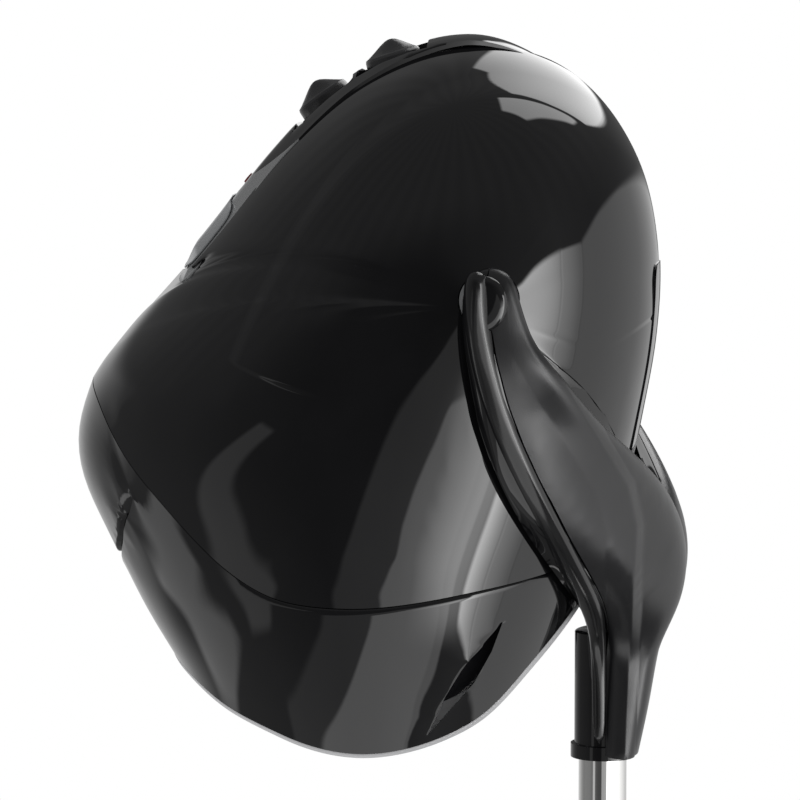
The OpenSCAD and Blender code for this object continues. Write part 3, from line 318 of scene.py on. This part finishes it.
# Each finish: tone, worn tone, wear, polish from and to, grain scale, grain depth, and the shader's values
FINISHES = {
    "gloss_black": ((0.004, 0.004, 0.0045), (0.009, 0.009, 0.01), 0.5, (0.012, 0.035), 40, 0.00001,
                    {"IOR": 1.52}),
    "bead_black": ((0.005, 0.005, 0.0055), (0.01, 0.01, 0.011), 0.5, (0.14, 0.2), 60, 0.00001, {"IOR": 1.52}),
    "satin_grey": ((0.008, 0.008, 0.009), (0.018, 0.018, 0.02), 0.6, (0.28, 0.38), 1500, 0.00006, {}),
    "satin_black": ((0.012, 0.012, 0.013), (0.045, 0.045, 0.048), 0.4, (0.24, 0.36), 900, 0.00004, {}),
    "chrome": ((0.84, 0.84, 0.83), (0.72, 0.71, 0.69), 0.3, (0.03, 0.09), 300, 0.000004, {"Metallic": 1.0}),
    "black_metal": ((0.014, 0.014, 0.016), (0.05, 0.05, 0.055), 0.4, (0.32, 0.45), 700, 0.00005, {}),
    "black_alloy": ((0.014, 0.014, 0.016), (0.05, 0.05, 0.055), 0.4, (0.32, 0.45), 700, 0.00005, {}),
    "silver_plate": ((0.30, 0.31, 0.32), (0.40, 0.41, 0.42), 0.5, (0.18, 0.30), 500, 0.00001,
                     {"Metallic": 0.6}),
    "pale_rubber": ((0.55, 0.55, 0.56), (0.42, 0.42, 0.43), 0.5, (0.35, 0.5), 800, 0.00004, {}),
    "black_rubber": ((0.015, 0.015, 0.015), (0.06, 0.06, 0.06), 0.4, (0.55, 0.75), 900, 0.00008, {}),
    "grey_tyre": ((0.075, 0.075, 0.08), (0.16, 0.155, 0.15), 0.6, (0.5, 0.7), 700, 0.0001, {}),
    "smoke_plastic": ((0.03, 0.03, 0.034), (0.05, 0.05, 0.055), 0.4, (0.08, 0.16), 60, 0.00002, {}),
    "steel": ((0.56, 0.57, 0.58), (0.42, 0.42, 0.43), 0.5, (0.22, 0.38), 900, 0.00001, {"Metallic": 1.0}),
    "aluminium": ((0.66, 0.67, 0.68), (0.5, 0.5, 0.51), 0.5, (0.28, 0.42), 900, 0.00001, {"Metallic": 1.0}),
    "brass": ((0.62, 0.46, 0.2), (0.42, 0.28, 0.12), 0.6, (0.2, 0.36), 700, 0.00001, {"Metallic": 1.0}),
    "fibre": ((0.42, 0.37, 0.28), (0.3, 0.26, 0.2), 0.6, (0.6, 0.8), 1200, 0.0001, {}),
    "white_plastic": ((0.72, 0.71, 0.66), (0.6, 0.58, 0.52), 0.5, (0.3, 0.45), 600, 0.00003, {}),
    "tank_plastic": ((0.5, 0.62, 0.7), (0.42, 0.54, 0.62), 0.5, (0.12, 0.22), 80, 0.00003,
                     {"Transmission Weight": 0.6}),
    "blue_plastic": ((0.03, 0.13, 0.3), (0.06, 0.2, 0.4), 0.5, (0.25, 0.4), 600, 0.00004, {}),
    "green_board": ((0.03, 0.16, 0.07), (0.05, 0.22, 0.1), 0.6, (0.3, 0.5), 400, 0.00003, {}),
    "red_lens": ((0.16, 0.01, 0.008), (0.2, 0.02, 0.015), 0.4, (0.06, 0.14), 200, 0.00001,
                 {"Transmission Weight": 0.4}),
    "lamp_glass": ((0.8, 0.84, 0.95), (0.7, 0.75, 0.88), 0.4, (0.03, 0.08), 60, 0.00001,
                   {"Transmission Weight": 0.9}),
}


def place_group(tree, group, place, values):
    node = tree.nodes.new("ShaderNodeGroup")
    node.node_tree = group
    tree.links.new(place, node.inputs["Place"])
    for title, value in values.items():
        node.inputs[title].default_value = value
    return node


def make_finish(name, groups):
    tone, worn, wear, (smooth, rough), scale, depth, values = FINISHES[name]
    material = bpy.data.materials.new("finish_" + name)
    material.use_nodes = True
    tree = material.node_tree
    shader = tree.nodes["Principled BSDF"]
    for title, value in values.items():
        shader.inputs[title].default_value = value
    place = tree.nodes.new("ShaderNodeTexCoord").outputs["Object"]
    tones = {"Tone": (*tone, 1), "Worn": (*worn, 1), "Scale": TONE_SCALE, "Wear": wear}
    colour = place_group(tree, groups["tone"], place, tones)
    tree.links.new(colour.outputs["Colour"], shader.inputs["Base Color"])
    wiped = {"Smooth": smooth, "Rough": rough, "Scale": POLISH_SCALE}
    polish = place_group(tree, groups["polish"], place, wiped)
    tree.links.new(polish.outputs["Roughness"], shader.inputs["Roughness"])
    along = 1.0 if name in BRUSHED else 0.0
    grain = place_group(tree, groups["grain"], place, {"Scale": float(scale), "Along": along})
    bump = tree.nodes.new("ShaderNodeBump")
    bump.inputs["Distance"].default_value = depth
    bump.inputs["Strength"].default_value = 1.0
    tree.links.new(grain.outputs["Height"], bump.inputs["Height"])
    tree.links.new(bump.outputs["Normal"], shader.inputs["Normal"])
    return material


# Raised field on each side shell, from the hood's centre: an oval ridge above and a low ledge in front
RIDGE_MIDDLE = (0.0808, -0.3274)
RIDGE_HALF = (0.2201, 0.5367)
RIDGE_WIDTH = 0.012
FIELD_RISE = 0.0016
FIELD_FADE = (0.02, 0.1)
LEDGE_LOW = (0.028, 0.012)
LEDGE_BEND = 2.1
LEDGE_WIDTH = 0.004


def offset_square(tree, value, middle, half):
    """How far a coordinate lies from a middle, as a share of a half length, squared."""
    share = math_node(tree, "DIVIDE", math_node(tree, "SUBTRACT", value, middle), half)
    return math_node(tree, "MULTIPLY", share, share)


def add_field(material):
    """Presses the shell's raised field into a finish's surface."""
    tree = material.node_tree
    shader = tree.nodes["Principled BSDF"]
    split = tree.nodes.new("ShaderNodeSeparateXYZ")
    tree.links.new(tree.nodes["Texture Coordinate"].outputs["Object"], split.inputs[0])
    across = offset_square(tree, split.outputs["X"], HOOD.x + RIDGE_MIDDLE[0], RIDGE_HALF[0])
    up = offset_square(tree, split.outputs["Z"], HOOD.z + RIDGE_MIDDLE[1], RIDGE_HALF[1])
    reach = math_node(tree, "SQRT", math_node(tree, "ADD", across, up))
    inside = math_node(tree, "MULTIPLY", math_node(tree, "SUBTRACT", 1.0, reach), sum(RIDGE_HALF) / 2)
    ridge = ranged(tree, inside, -RIDGE_WIDTH / 2, RIDGE_WIDTH / 2, 0, 1, True)
    fade = ranged(tree, inside, *FIELD_FADE, 1, 0, True)
    bend = offset_square(tree, split.outputs["X"], HOOD.x + LEDGE_LOW[0], 1 / math.sqrt(LEDGE_BEND))
    foot = math_node(tree, "ADD", bend, HOOD.z + LEDGE_LOW[1])
    height = math_node(tree, "SUBTRACT", split.outputs["Z"], foot)
    ledge = ranged(tree, height, -LEDGE_WIDTH / 2, LEDGE_WIDTH / 2, 0, 1, True)
    field = math_node(tree, "MULTIPLY", math_node(tree, "MULTIPLY", ridge, ledge), fade)
    bump = tree.nodes.new("ShaderNodeBump")
    bump.inputs["Distance"].default_value = FIELD_RISE
    bump.inputs["Strength"].default_value = 1.0
    tree.links.new(field, bump.inputs["Height"])
    tree.links.new(tree.nodes["Bump"].outputs["Normal"], bump.inputs["Normal"])
    tree.links.new(bump.outputs["Normal"], shader.inputs["Normal"])


# Front of the control panel: the silver face runs up beside a black boss with an oval front
BOSS_MIDDLE_X = -0.188
BOSS_LONG = 0.055
BOSS_HALF = 0.073
FACE_TONE = (0.34, 0.345, 0.35, 1)
FACE_ROUGH = 0.22
FACE_METAL = 0.7


def mixed(tree, kind, factor, first, second):
    """A value or colour that gives way, by a factor, to a fixed one."""
    node = tree.nodes.new("ShaderNodeMix")
    node.data_type = kind
    pair, out = (VALUE_PAIR, VALUE_OUT) if kind == "FLOAT" else (COLOUR_PAIR, COLOUR_OUT)
    tree.links.new(factor, node.inputs[0])
    tree.links.new(first, node.inputs[pair[0]])
    node.inputs[pair[1]].default_value = second
    return node.outputs[out]


def add_silver_face(material):
    """Gives a gloss finish the silver of the panel's face, where the face lies."""
    tree = material.node_tree
    shader = tree.nodes["Principled BSDF"]
    split = tree.nodes.new("ShaderNodeSeparateXYZ")
    tree.links.new(tree.nodes["Texture Coordinate"].outputs["Object"], split.inputs[0])
    long = offset_square(tree, split.outputs["X"], BOSS_MIDDLE_X, BOSS_LONG)
    wide = offset_square(tree, split.outputs["Y"], 0.0, BOSS_HALF)
    beyond = math_node(tree, "GREATER_THAN", math_node(tree, "ADD", long, wide), 1.0)
    ahead = math_node(tree, "LESS_THAN", split.outputs["X"], BOSS_MIDDLE_X)
    face = math_node(tree, "MULTIPLY", beyond, ahead)
    colour = shader.inputs["Base Color"].links[0].from_socket
    rough = shader.inputs["Roughness"].links[0].from_socket
    tree.links.new(mixed(tree, "RGBA", face, colour, FACE_TONE), shader.inputs["Base Color"])
    tree.links.new(mixed(tree, "FLOAT", face, rough, FACE_ROUGH), shader.inputs["Roughness"])
    tree.links.new(math_node(tree, "MULTIPLY", face, FACE_METAL), shader.inputs["Metallic"])


def dress(piece, finish):
    piece.data.materials.clear()
    piece.data.materials.append(finishes[finish])


# Modelling helpers

def pick(piece):
    bpy.ops.object.select_all(action="DESELECT")
    piece.select_set(True)
    bpy.context.view_layer.objects.active = piece


def apply_modifier(piece, kind, **values):
    pick(piece)
    modifier = piece.modifiers.new(kind.lower(), kind)
    for title, value in values.items():
        setattr(modifier, title, value)
    bpy.ops.object.modifier_apply(modifier=modifier.name)


def settle(piece, finish, body, *nodes):
    """Puts a finished piece's place into its mesh, gives it its finish and lets it ride on its body."""
    pick(piece)
    bpy.ops.object.transform_apply(location=True, rotation=True, scale=True)
    dress(piece, finish)
    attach(piece, body)
    if nodes:
        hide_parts(*nodes)


# Least angle, in degrees, at which a fold stays sharp
SHARP = 38
# Reach within which a net's corners are welded. The side shells' is longer
WELD = 1e-5
SHELL_WELD = 4e-4
# Angles, in degrees, up to which two triangles are joined: the fold between them, and the quad's skew
QUAD_FOLD = 40
QUAD_SKEW = 75
SHELL_SKEW = 120


def smooth(piece, sharp=SHARP):
    pick(piece)
    bpy.ops.object.shade_smooth_by_angle(angle=math.radians(sharp))


def join_triangles(piece, skew):
    """Joins a piece's triangles to quads, up to a skew in degrees."""
    pick(piece)
    bpy.ops.object.mode_set(mode="EDIT")
    bpy.ops.mesh.select_all(action="SELECT")
    fold = math.radians(QUAD_FOLD)
    bpy.ops.mesh.tris_convert_to_quads(face_threshold=fold, shape_threshold=math.radians(skew))
    bpy.ops.object.mode_set(mode="OBJECT")


def crease_folds(piece, sharp):
    """Marks a piece's sharp folds, so that they stay sharp when it is rounded."""
    pick(piece)
    bpy.ops.object.mode_set(mode="EDIT")
    bpy.ops.mesh.select_mode(type="EDGE")
    bpy.ops.mesh.select_all(action="DESELECT")
    bpy.ops.mesh.edges_select_sharp(sharpness=math.radians(sharp))
    bpy.ops.transform.edge_crease(value=1.0)
    bpy.ops.object.mode_set(mode="OBJECT")


def moulding(node, levels, sharp, weld):
    """A smooth copy of a moulded node: its triangles are merged back to a net of quads and rounded."""
    piece = bpy.data.objects.new(node + "_moulding", frame["nodes"][node].data.copy())
    bpy.context.scene.collection.objects.link(piece)
    pick(piece)
    bpy.ops.object.mode_set(mode="EDIT")
    bpy.ops.mesh.select_all(action="SELECT")
    bpy.ops.mesh.remove_doubles(threshold=weld)
    bpy.ops.object.mode_set(mode="OBJECT")
    join_triangles(piece, QUAD_SKEW)
    if node.startswith("side_shell"):
        unfold(piece, -1 if node.endswith("_r") else 1)
        join_triangles(piece, SHELL_SKEW)
        draw_hole(piece)
    if node == "lower_skirt":
        close_gap(piece, ("side_shell_r", "side_shell_l"))
    crease_folds(piece, sharp)
    apply_modifier(piece, "SUBSURF", levels=levels, render_levels=levels)
    smooth(piece)
    return piece


# Side shells: the lines of their net run from the hole round the hinge to the shell's edge. Those that end
# on the centre line below the panel cross over the line that ends at the panel's corner. These are the
# side angles, in degrees, between which they end, and up to which the first clear line is looked for
CROSSED = (146.5, 161.5)
CLEAR_TO = 172.0
# Corners nearer than this to the centre plane lie on it
CENTRE_NEAR = 0.002
# How far from the centre plane the next corner of a line that ends there lies
FIRST_STEP = (0.006, 0.05)
# Least length of a step along the net, which is more than the shell's wall
LEAST_STEP = 0.005
MOST_CORNERS = 12
# How far out from the centre plane the hinge lies
HINGE_OUT = 0.2
# Reach of the shell's hole from the hinge, and the share of it that is left when it is drawn in
HOLE_REACH = 0.036
HOLE_DRAW = 0.93


def from_hinge(point):
    """The way of a point from the hinge's axis."""
    return Vector((point.x - HINGE.x, 0, point.z - HINGE.z))


def line_of(co, links, start, toward=None):
    """The net's line from a corner on the shell's edge to the shell's hole."""
    if toward is None:
        inner = [n for n in links[start] if FIRST_STEP[0] < abs(co[n].y) < FIRST_STEP[1]]
        here = min(inner, key=lambda n: (co[n] - co[start]).length)
    else:
        inner = [n for n in links[start] if (co[n] - co[start]).length > LEAST_STEP]
        here = max(inner, key=lambda n: toward.dot((co[n] - co[start]).normalized()))
    line = [start, here]
    while len(line) < MOST_CORNERS and from_hinge(co[here]).length > HOLE_REACH:
        ahead = (co[here] - co[line[-2]]).normalized()
        rest = [n for n in links[here] if n != line[-2]]
        here = max(rest, key=lambda n: ahead.dot((co[n] - co[here]).normalized()))
        line.append(here)
    return line


def net_links(mesh):
    """The neighbours of each corner of a net."""
    links = {i: [] for i in range(len(mesh.vertices))}
    for edge in mesh.edges:
        one, other = edge.vertices
        links[one].append(other)
        links[other].append(one)
    return links


def centre_ends(co, links, outer):
    """Side angles and corners at which one wall's lines end on the centre line."""
    ends = []
    for i, point in enumerate(co):
        angle = math.degrees(math.atan2(point.z - HOOD.z, point.x - HOOD.x))
        if abs(point.y) < CENTRE_NEAR and CROSSED[0] < angle < CLEAR_TO:
            across = min(links[i], key=lambda n: (co[n] - point).length)
            if ((co[across] - HOOD).length < (point - HOOD).length) == outer:
                ends.append((angle, i))
    return sorted(ends)


def unfold(piece, side):
    """Lays the crossed lines of the net out evenly between the corner's line and the first clear line."""
    co = [v.co.copy() for v in piece.data.vertices]
    links = net_links(piece.data)
    hinge = Vector((HINGE.x, side * HINGE_OUT, HINGE.z))
    for outer in (True, False):
        ends = centre_ends(co, links, outer)
        crossed = [i for angle, i in ends if angle < CROSSED[1]]
        clear = next(i for angle, i in ends if angle > CROSSED[1])
        far = [n for n in links[crossed[0]] if abs(co[n].y) > FIRST_STEP[1]]
        corner = min(far, key=lambda n: (co[n] - co[crossed[0]]).length)
        first = line_of(co, links, corner, (hinge - co[corner]).normalized())
        last = line_of(co, links, clear)
        for j, start in enumerate(crossed):
            share = (j + 1) / (len(crossed) + 1)
            for here, one, other in list(zip(line_of(co, links, start), first, last))[1:]:
                piece.data.vertices[here].co = co[one].lerp(co[other], share)


def draw_hole(piece):
    """Draws the shell's hole in round its hinge."""
    for vertex in piece.data.vertices:
        arm = from_hinge(vertex.co)
        if arm.length < HOLE_REACH:
            vertex.co -= arm * (1 - HOLE_DRAW)


# Skirt's upper edge: how far it looks across its gap, and the share of the gap that it closes
GAP_REACH = 0.004
GAP_CLOSED = 0.62


def close_gap(piece, others):
    """Brings a moulding's edge nearer to the edges across its gap."""
    points = [v.co for other in others for v in frame["nodes"][other].data.vertices]
    tree = kdtree.KDTree(len(points))
    for i, point in enumerate(points):
        tree.insert(point, i)
    tree.balance()
    for vertex in piece.data.vertices:
        near, i, distance = tree.find(vertex.co)
        if distance < GAP_REACH:
            vertex.co = vertex.co.lerp(near, GAP_CLOSED)


def drawn(name, rings, sides, turn=(0, 0, 0), place=(0, 0, 0)):
    """A closed form pulled up through level oval rings: middle x, middle y, height, half x and half y."""
    bpy.ops.object.select_all(action="DESELECT")
    x, y, z, half_x, half_y = rings[0]
    bpy.ops.mesh.primitive_circle_add(vertices=sides, radius=1, fill_type="NGON", location=(x, y, z))
    piece = bpy.context.active_object
    piece.name = name
    piece.scale = (half_x, half_y, 1)
    bpy.ops.object.transform_apply(location=True, rotation=True, scale=True)
    bpy.ops.object.mode_set(mode="EDIT")
    bpy.ops.mesh.select_all(action="SELECT")
    for low, high in zip(rings, rings[1:]):
        step = tuple(high[i] - low[i] for i in range(3))
        bpy.ops.mesh.extrude_region_move(TRANSFORM_OT_translate={"value": step})
        bpy.ops.transform.resize(value=(high[3] / low[3], high[4] / low[4], 1), center_override=high[:3])
    bpy.ops.mesh.select_all(action="SELECT")
    bpy.ops.mesh.normals_make_consistent(inside=False)
    bpy.ops.object.mode_set(mode="OBJECT")
    piece.rotation_euler = turn
    piece.location = place
    bpy.ops.object.transform_apply(location=True, rotation=True, scale=True)
    return piece


def eased(value, low, high):
    t = min(1.0, max(0.0, (value - low) / (high - low)))
    return t * t * (3 - 2 * t)


def across_line(x, z, line):
    """Distance of a point from a line of corners, positive behind it."""
    best = None
    for (x0, z0), (x1, z1) in zip(line, line[1:]):
        along = Vector((x1 - x0, z1 - z0))
        t = min(1.0, max(0.0, Vector((x - x0, z - z0)).dot(along) / along.length_squared))
        near = Vector((x - x0 - along.x * t, z - z0 - along.y * t))
        side = math.copysign(near.length, near.x * -along.y + near.y * along.x)
        if best is None or near.length < abs(best):
            best = side
    return best


# Yoke

# Crease down the arm covers, as x and height, and its rise and the reach of its two slopes
CREASE = (
    (-0.040, 1.300), (-0.024, 1.272), (-0.003, 1.2335), (0.017, 1.1943), (0.0225, 1.167), (0.0205, 1.115),
    (0.0175, 1.06), (0.0155, 1.005),
)
CREASE_RISE = 0.0028
CREASE_AHEAD = 0.016
CREASE_BEHIND = 0.007
# Heights at which the crease begins to fade, and has gone
CREASE_TOP = (1.262, 1.300)
# The cover's inner faces stay as they are where they turn to the rear by less than this
INNER_LEAN = 0.2


def raise_crease(piece):
    """Draws the cover out along its crease, with a long slope ahead of it and a short one behind."""
    vertices = piece.data.vertices
    normals = [v.normal.copy() for v in vertices]
    for vertex, normal in zip(vertices, normals):
        if normal.y * vertex.co.y < 0 and normal.x < INNER_LEAN:
            continue
        offset = across_line(vertex.co.x, vertex.co.z, CREASE)
        width = CREASE_BEHIND if offset > 0 else CREASE_AHEAD
        rise = CREASE_RISE * max(0.0, 1 - abs(offset) / width) * (1 - eased(vertex.co.z, *CREASE_TOP))
        vertex.co += normal * rise


# Sides of a drawn ring on the yoke, and the fold in degrees that stays sharp on its soft forms
BEAD_SIDES = 32
ROUND_SIDES = 48
SOFT = 60
# Bead down the front of an arm: middle x, middle y, height, half width, half depth
BEAD = (
    (-0.0702, -0.2040, 1.3352, 0.0016, 0.0030), (-0.0702, -0.2045, 1.3340, 0.0044, 0.0060),
    (-0.0703, -0.2045, 1.3305, 0.0066, 0.0080), (-0.0704, -0.2045, 1.3240, 0.0076, 0.0090),
    (-0.0702, -0.2035, 1.3080, 0.0078, 0.0090), (-0.0682, -0.1985, 1.2900, 0.0079, 0.0078),
    (-0.0650, -0.1945, 1.2730, 0.0079, 0.0062), (-0.0605, -0.1915, 1.2550, 0.0079, 0.0060),
    (-0.0535, -0.1855, 1.2340, 0.0080, 0.0062), (-0.0455, -0.1765, 1.2130, 0.0083, 0.0068),
    (-0.0365, -0.1640, 1.1915, 0.0086, 0.0080), (-0.0265, -0.1460, 1.1690, 0.0088, 0.0095),
    (-0.0180, -0.1240, 1.1480, 0.0088, 0.0110), (-0.0110, -0.0990, 1.1290, 0.0086, 0.0115),
    (-0.0060, -0.0740, 1.1140, 0.0078, 0.0110), (-0.0035, -0.0520, 1.1010, 0.0068, 0.0100),
    (-0.0022, -0.0330, 1.0860, 0.0056, 0.0070), (-0.0018, -0.0255, 1.0680, 0.0050, 0.0040),
    (-0.0016, -0.0235, 1.0400, 0.0046, 0.0030), (-0.0014, -0.0232, 1.0110, 0.0042, 0.0026),
)


def make_bead(suffix, side):
    """The bead down the arm across from the one that the suffix names."""
    rings = [(x, y * side, z, half_x, half_y) for x, y, z, half_x, half_y in BEAD]
    piece = drawn("arm_bead_" + suffix, rings, BEAD_SIDES)
    apply_modifier(piece, "SUBSURF", levels=1, render_levels=1)
    smooth(piece, SOFT)
    return piece


# Button over each tilt bolt, as heights over its seat with half width and half length
BUTTON = (
    (-0.0020, 0.0138, 0.0172), (0.0010, 0.0138, 0.0172), (0.0028, 0.0130, 0.0166), (0.0040, 0.0116, 0.0152),
    (0.0048, 0.0092, 0.0126), (0.0052, 0.0052, 0.0080), (0.0053, 0.0012, 0.0024),
)


def make_button(node, side):
    low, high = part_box(node)
    seat = ((low[0] + high[0]) / 2, side * min(abs(low[1]), abs(high[1])), (low[2] + high[2]) / 2)
    turn = (math.copysign(math.pi / 2, -side), 0, 0)
    rings = [(0, 0, height, half_x, half_z) for height, half_x, half_z in BUTTON]
    piece = drawn(node + "_button", rings, ROUND_SIDES, turn, seat)
    apply_modifier(piece, "SUBSURF", levels=1, render_levels=1)
    smooth(piece, SOFT)
    return piece


# Crown

# Control panel: how far its edges come down, and the distances from the centre plane, and the side angles
# at its rear and its front, between which they do so
PANEL_DROP = 0.0050
PANEL_SIDE = (0.046, 0.077)
PANEL_REAR = (62, 78)
PANEL_FRONT = (138, 147)
# How far the tank's cover comes in
COVER_DROP = 0.0022


def settle_panel(piece):
    """Brings the panel's long sides and its ends down level with the shells round it."""
    for vertex in piece.data.vertices:
        arm = Vector((vertex.co.x - HOOD.x, 0, vertex.co.z - HOOD.z))
        angle = math.degrees(math.atan2(arm.z, arm.x))
        side = eased(abs(vertex.co.y), *PANEL_SIDE)
        rear = 1 - eased(angle, *PANEL_REAR)
        front = eased(angle, *PANEL_FRONT)
        vertex.co -= arm.normalized() * PANEL_DROP * max(side, rear, front)


def draw_in(piece):
    """Brings the tank's cover in against the shells."""
    for vertex in piece.data.vertices:
        vertex.co.x -= COVER_DROP


# Pointer knob over its seat: place along the pointer, height, half length and half width
KNOB = (
    (-0.0030, -0.004, 0.0186, 0.0180), (-0.0030, 0.0030, 0.0190, 0.0184), (-0.0031, 0.0085, 0.0186, 0.0178),
    (-0.0032, 0.0102, 0.0180, 0.0165), (-0.0030, 0.0112, 0.0160, 0.0130), (-0.0026, 0.0140, 0.0118, 0.0098),
    (-0.0022, 0.0172, 0.0072, 0.0070), (-0.0019, 0.0192, 0.0038, 0.0050), (-0.0018, 0.0199, 0.0016, 0.0034),
)
# The knob's bevel, the least fold in degrees that it takes, and the least fold that stays sharp after it
KNOB_BEVEL = 0.0005
KNOB_BEVEL_FROM = 22
KNOB_SHARP = 24


def make_knob(joint, node):
    """A pointer knob on the axis of its joint, with its nose towards the hood's front."""
    axis = Vector(JOINTS[joint]["axis"]).normalized()
    seat = Vector(JOINTS[joint]["pos_m"])
    rings = [(along, 0, height, half_long, half_wide) for along, height, half_long, half_wide in KNOB]
    tilt = math.atan2(axis.x, axis.z)
    piece = drawn(node + "_pointer", rings, ROUND_SIDES, (0, tilt, 0), seat)
    apply_modifier(piece, "BEVEL", width=KNOB_BEVEL, segments=2, limit_method="ANGLE",
                   angle_limit=math.radians(KNOB_BEVEL_FROM))
    smooth(piece, KNOB_SHARP)
    return piece


make_camera()
make_world()
groups = {"tone": tone_group(), "polish": polish_group(), "grain": grain_group()}
finishes = {name: make_finish(name, groups) for name in FINISHES}
finishes["hood_black"] = make_finish("gloss_black", groups)
add_field(finishes["hood_black"])
finishes["panel_black"] = make_finish("gloss_black", groups)
add_silver_face(finishes["panel_black"])

SLOT_OF = {n: node.material_slots[0].material.name.split(".")[0] for n, node in frame["nodes"].items()}
JOINTS = {j["name"]: j for j in frame["record"]["behaviour"]["joints"]}
BODY_OF = {n: b for b, members in frame["record"]["behaviour"]["bodies"].items() for n in members}

# Nodes that are rounded off from their CAD net: levels, finish where it isn't the CAD's own, least fold in
# degrees that stays sharp, and weld
MOULDINGS = {
    "side_shell_r": (3, "hood_black", 62, SHELL_WELD), "side_shell_l": (3, "hood_black", 62, SHELL_WELD),
    "lower_skirt": (2, None, 50, WELD), "rim_gasket": (2, None, SHARP, WELD),
    "inner_bowl": (2, None, SHARP, WELD),
    "yoke_frame_r": (2, None, SHARP, WELD), "yoke_frame_l": (2, None, SHARP, WELD),
    "arm_cover_r": (3, None, 45, WELD), "arm_cover_l": (3, None, 45, WELD),
    "control_panel": (2, "panel_black", SHARP, WELD), "panel_plate": (1, None, SHARP, WELD),
    "tank_cover": (2, None, SHARP, WELD),
}
RESHAPED = {
    "arm_cover_r": raise_crease, "arm_cover_l": raise_crease,
    "control_panel": settle_panel, "panel_plate": settle_panel, "tank_cover": draw_in,
}
for title, (levels, finish, sharp, weld) in MOULDINGS.items():
    piece = moulding(title, levels, sharp, weld)
    if title in RESHAPED:
        RESHAPED[title](piece)
    settle(piece, finish or SLOT_OF[title], BODY_OF[title], title)

for suffix, side in (("r", -1), ("l", 1)):
    settle(make_bead(suffix, side), "bead_black", BODY_OF["yoke_frame_" + suffix])
    cap = "pivot_cap_" + suffix
    settle(make_button(cap, side), "gloss_black", BODY_OF[cap], cap)
KNOBS = {"timer_knob": "timer_turn", "heat_knob": "heat_turn"}
for title, joint in KNOBS.items():
    settle(make_knob(joint, title), "satin_black", BODY_OF[title], title)

REPLACED = {*MOULDINGS, "pivot_cap_r", "pivot_cap_l", *KNOBS}
for title, node in frame["nodes"].items():
    if title not in REPLACED:
        dress(node, SLOT_OF[title])
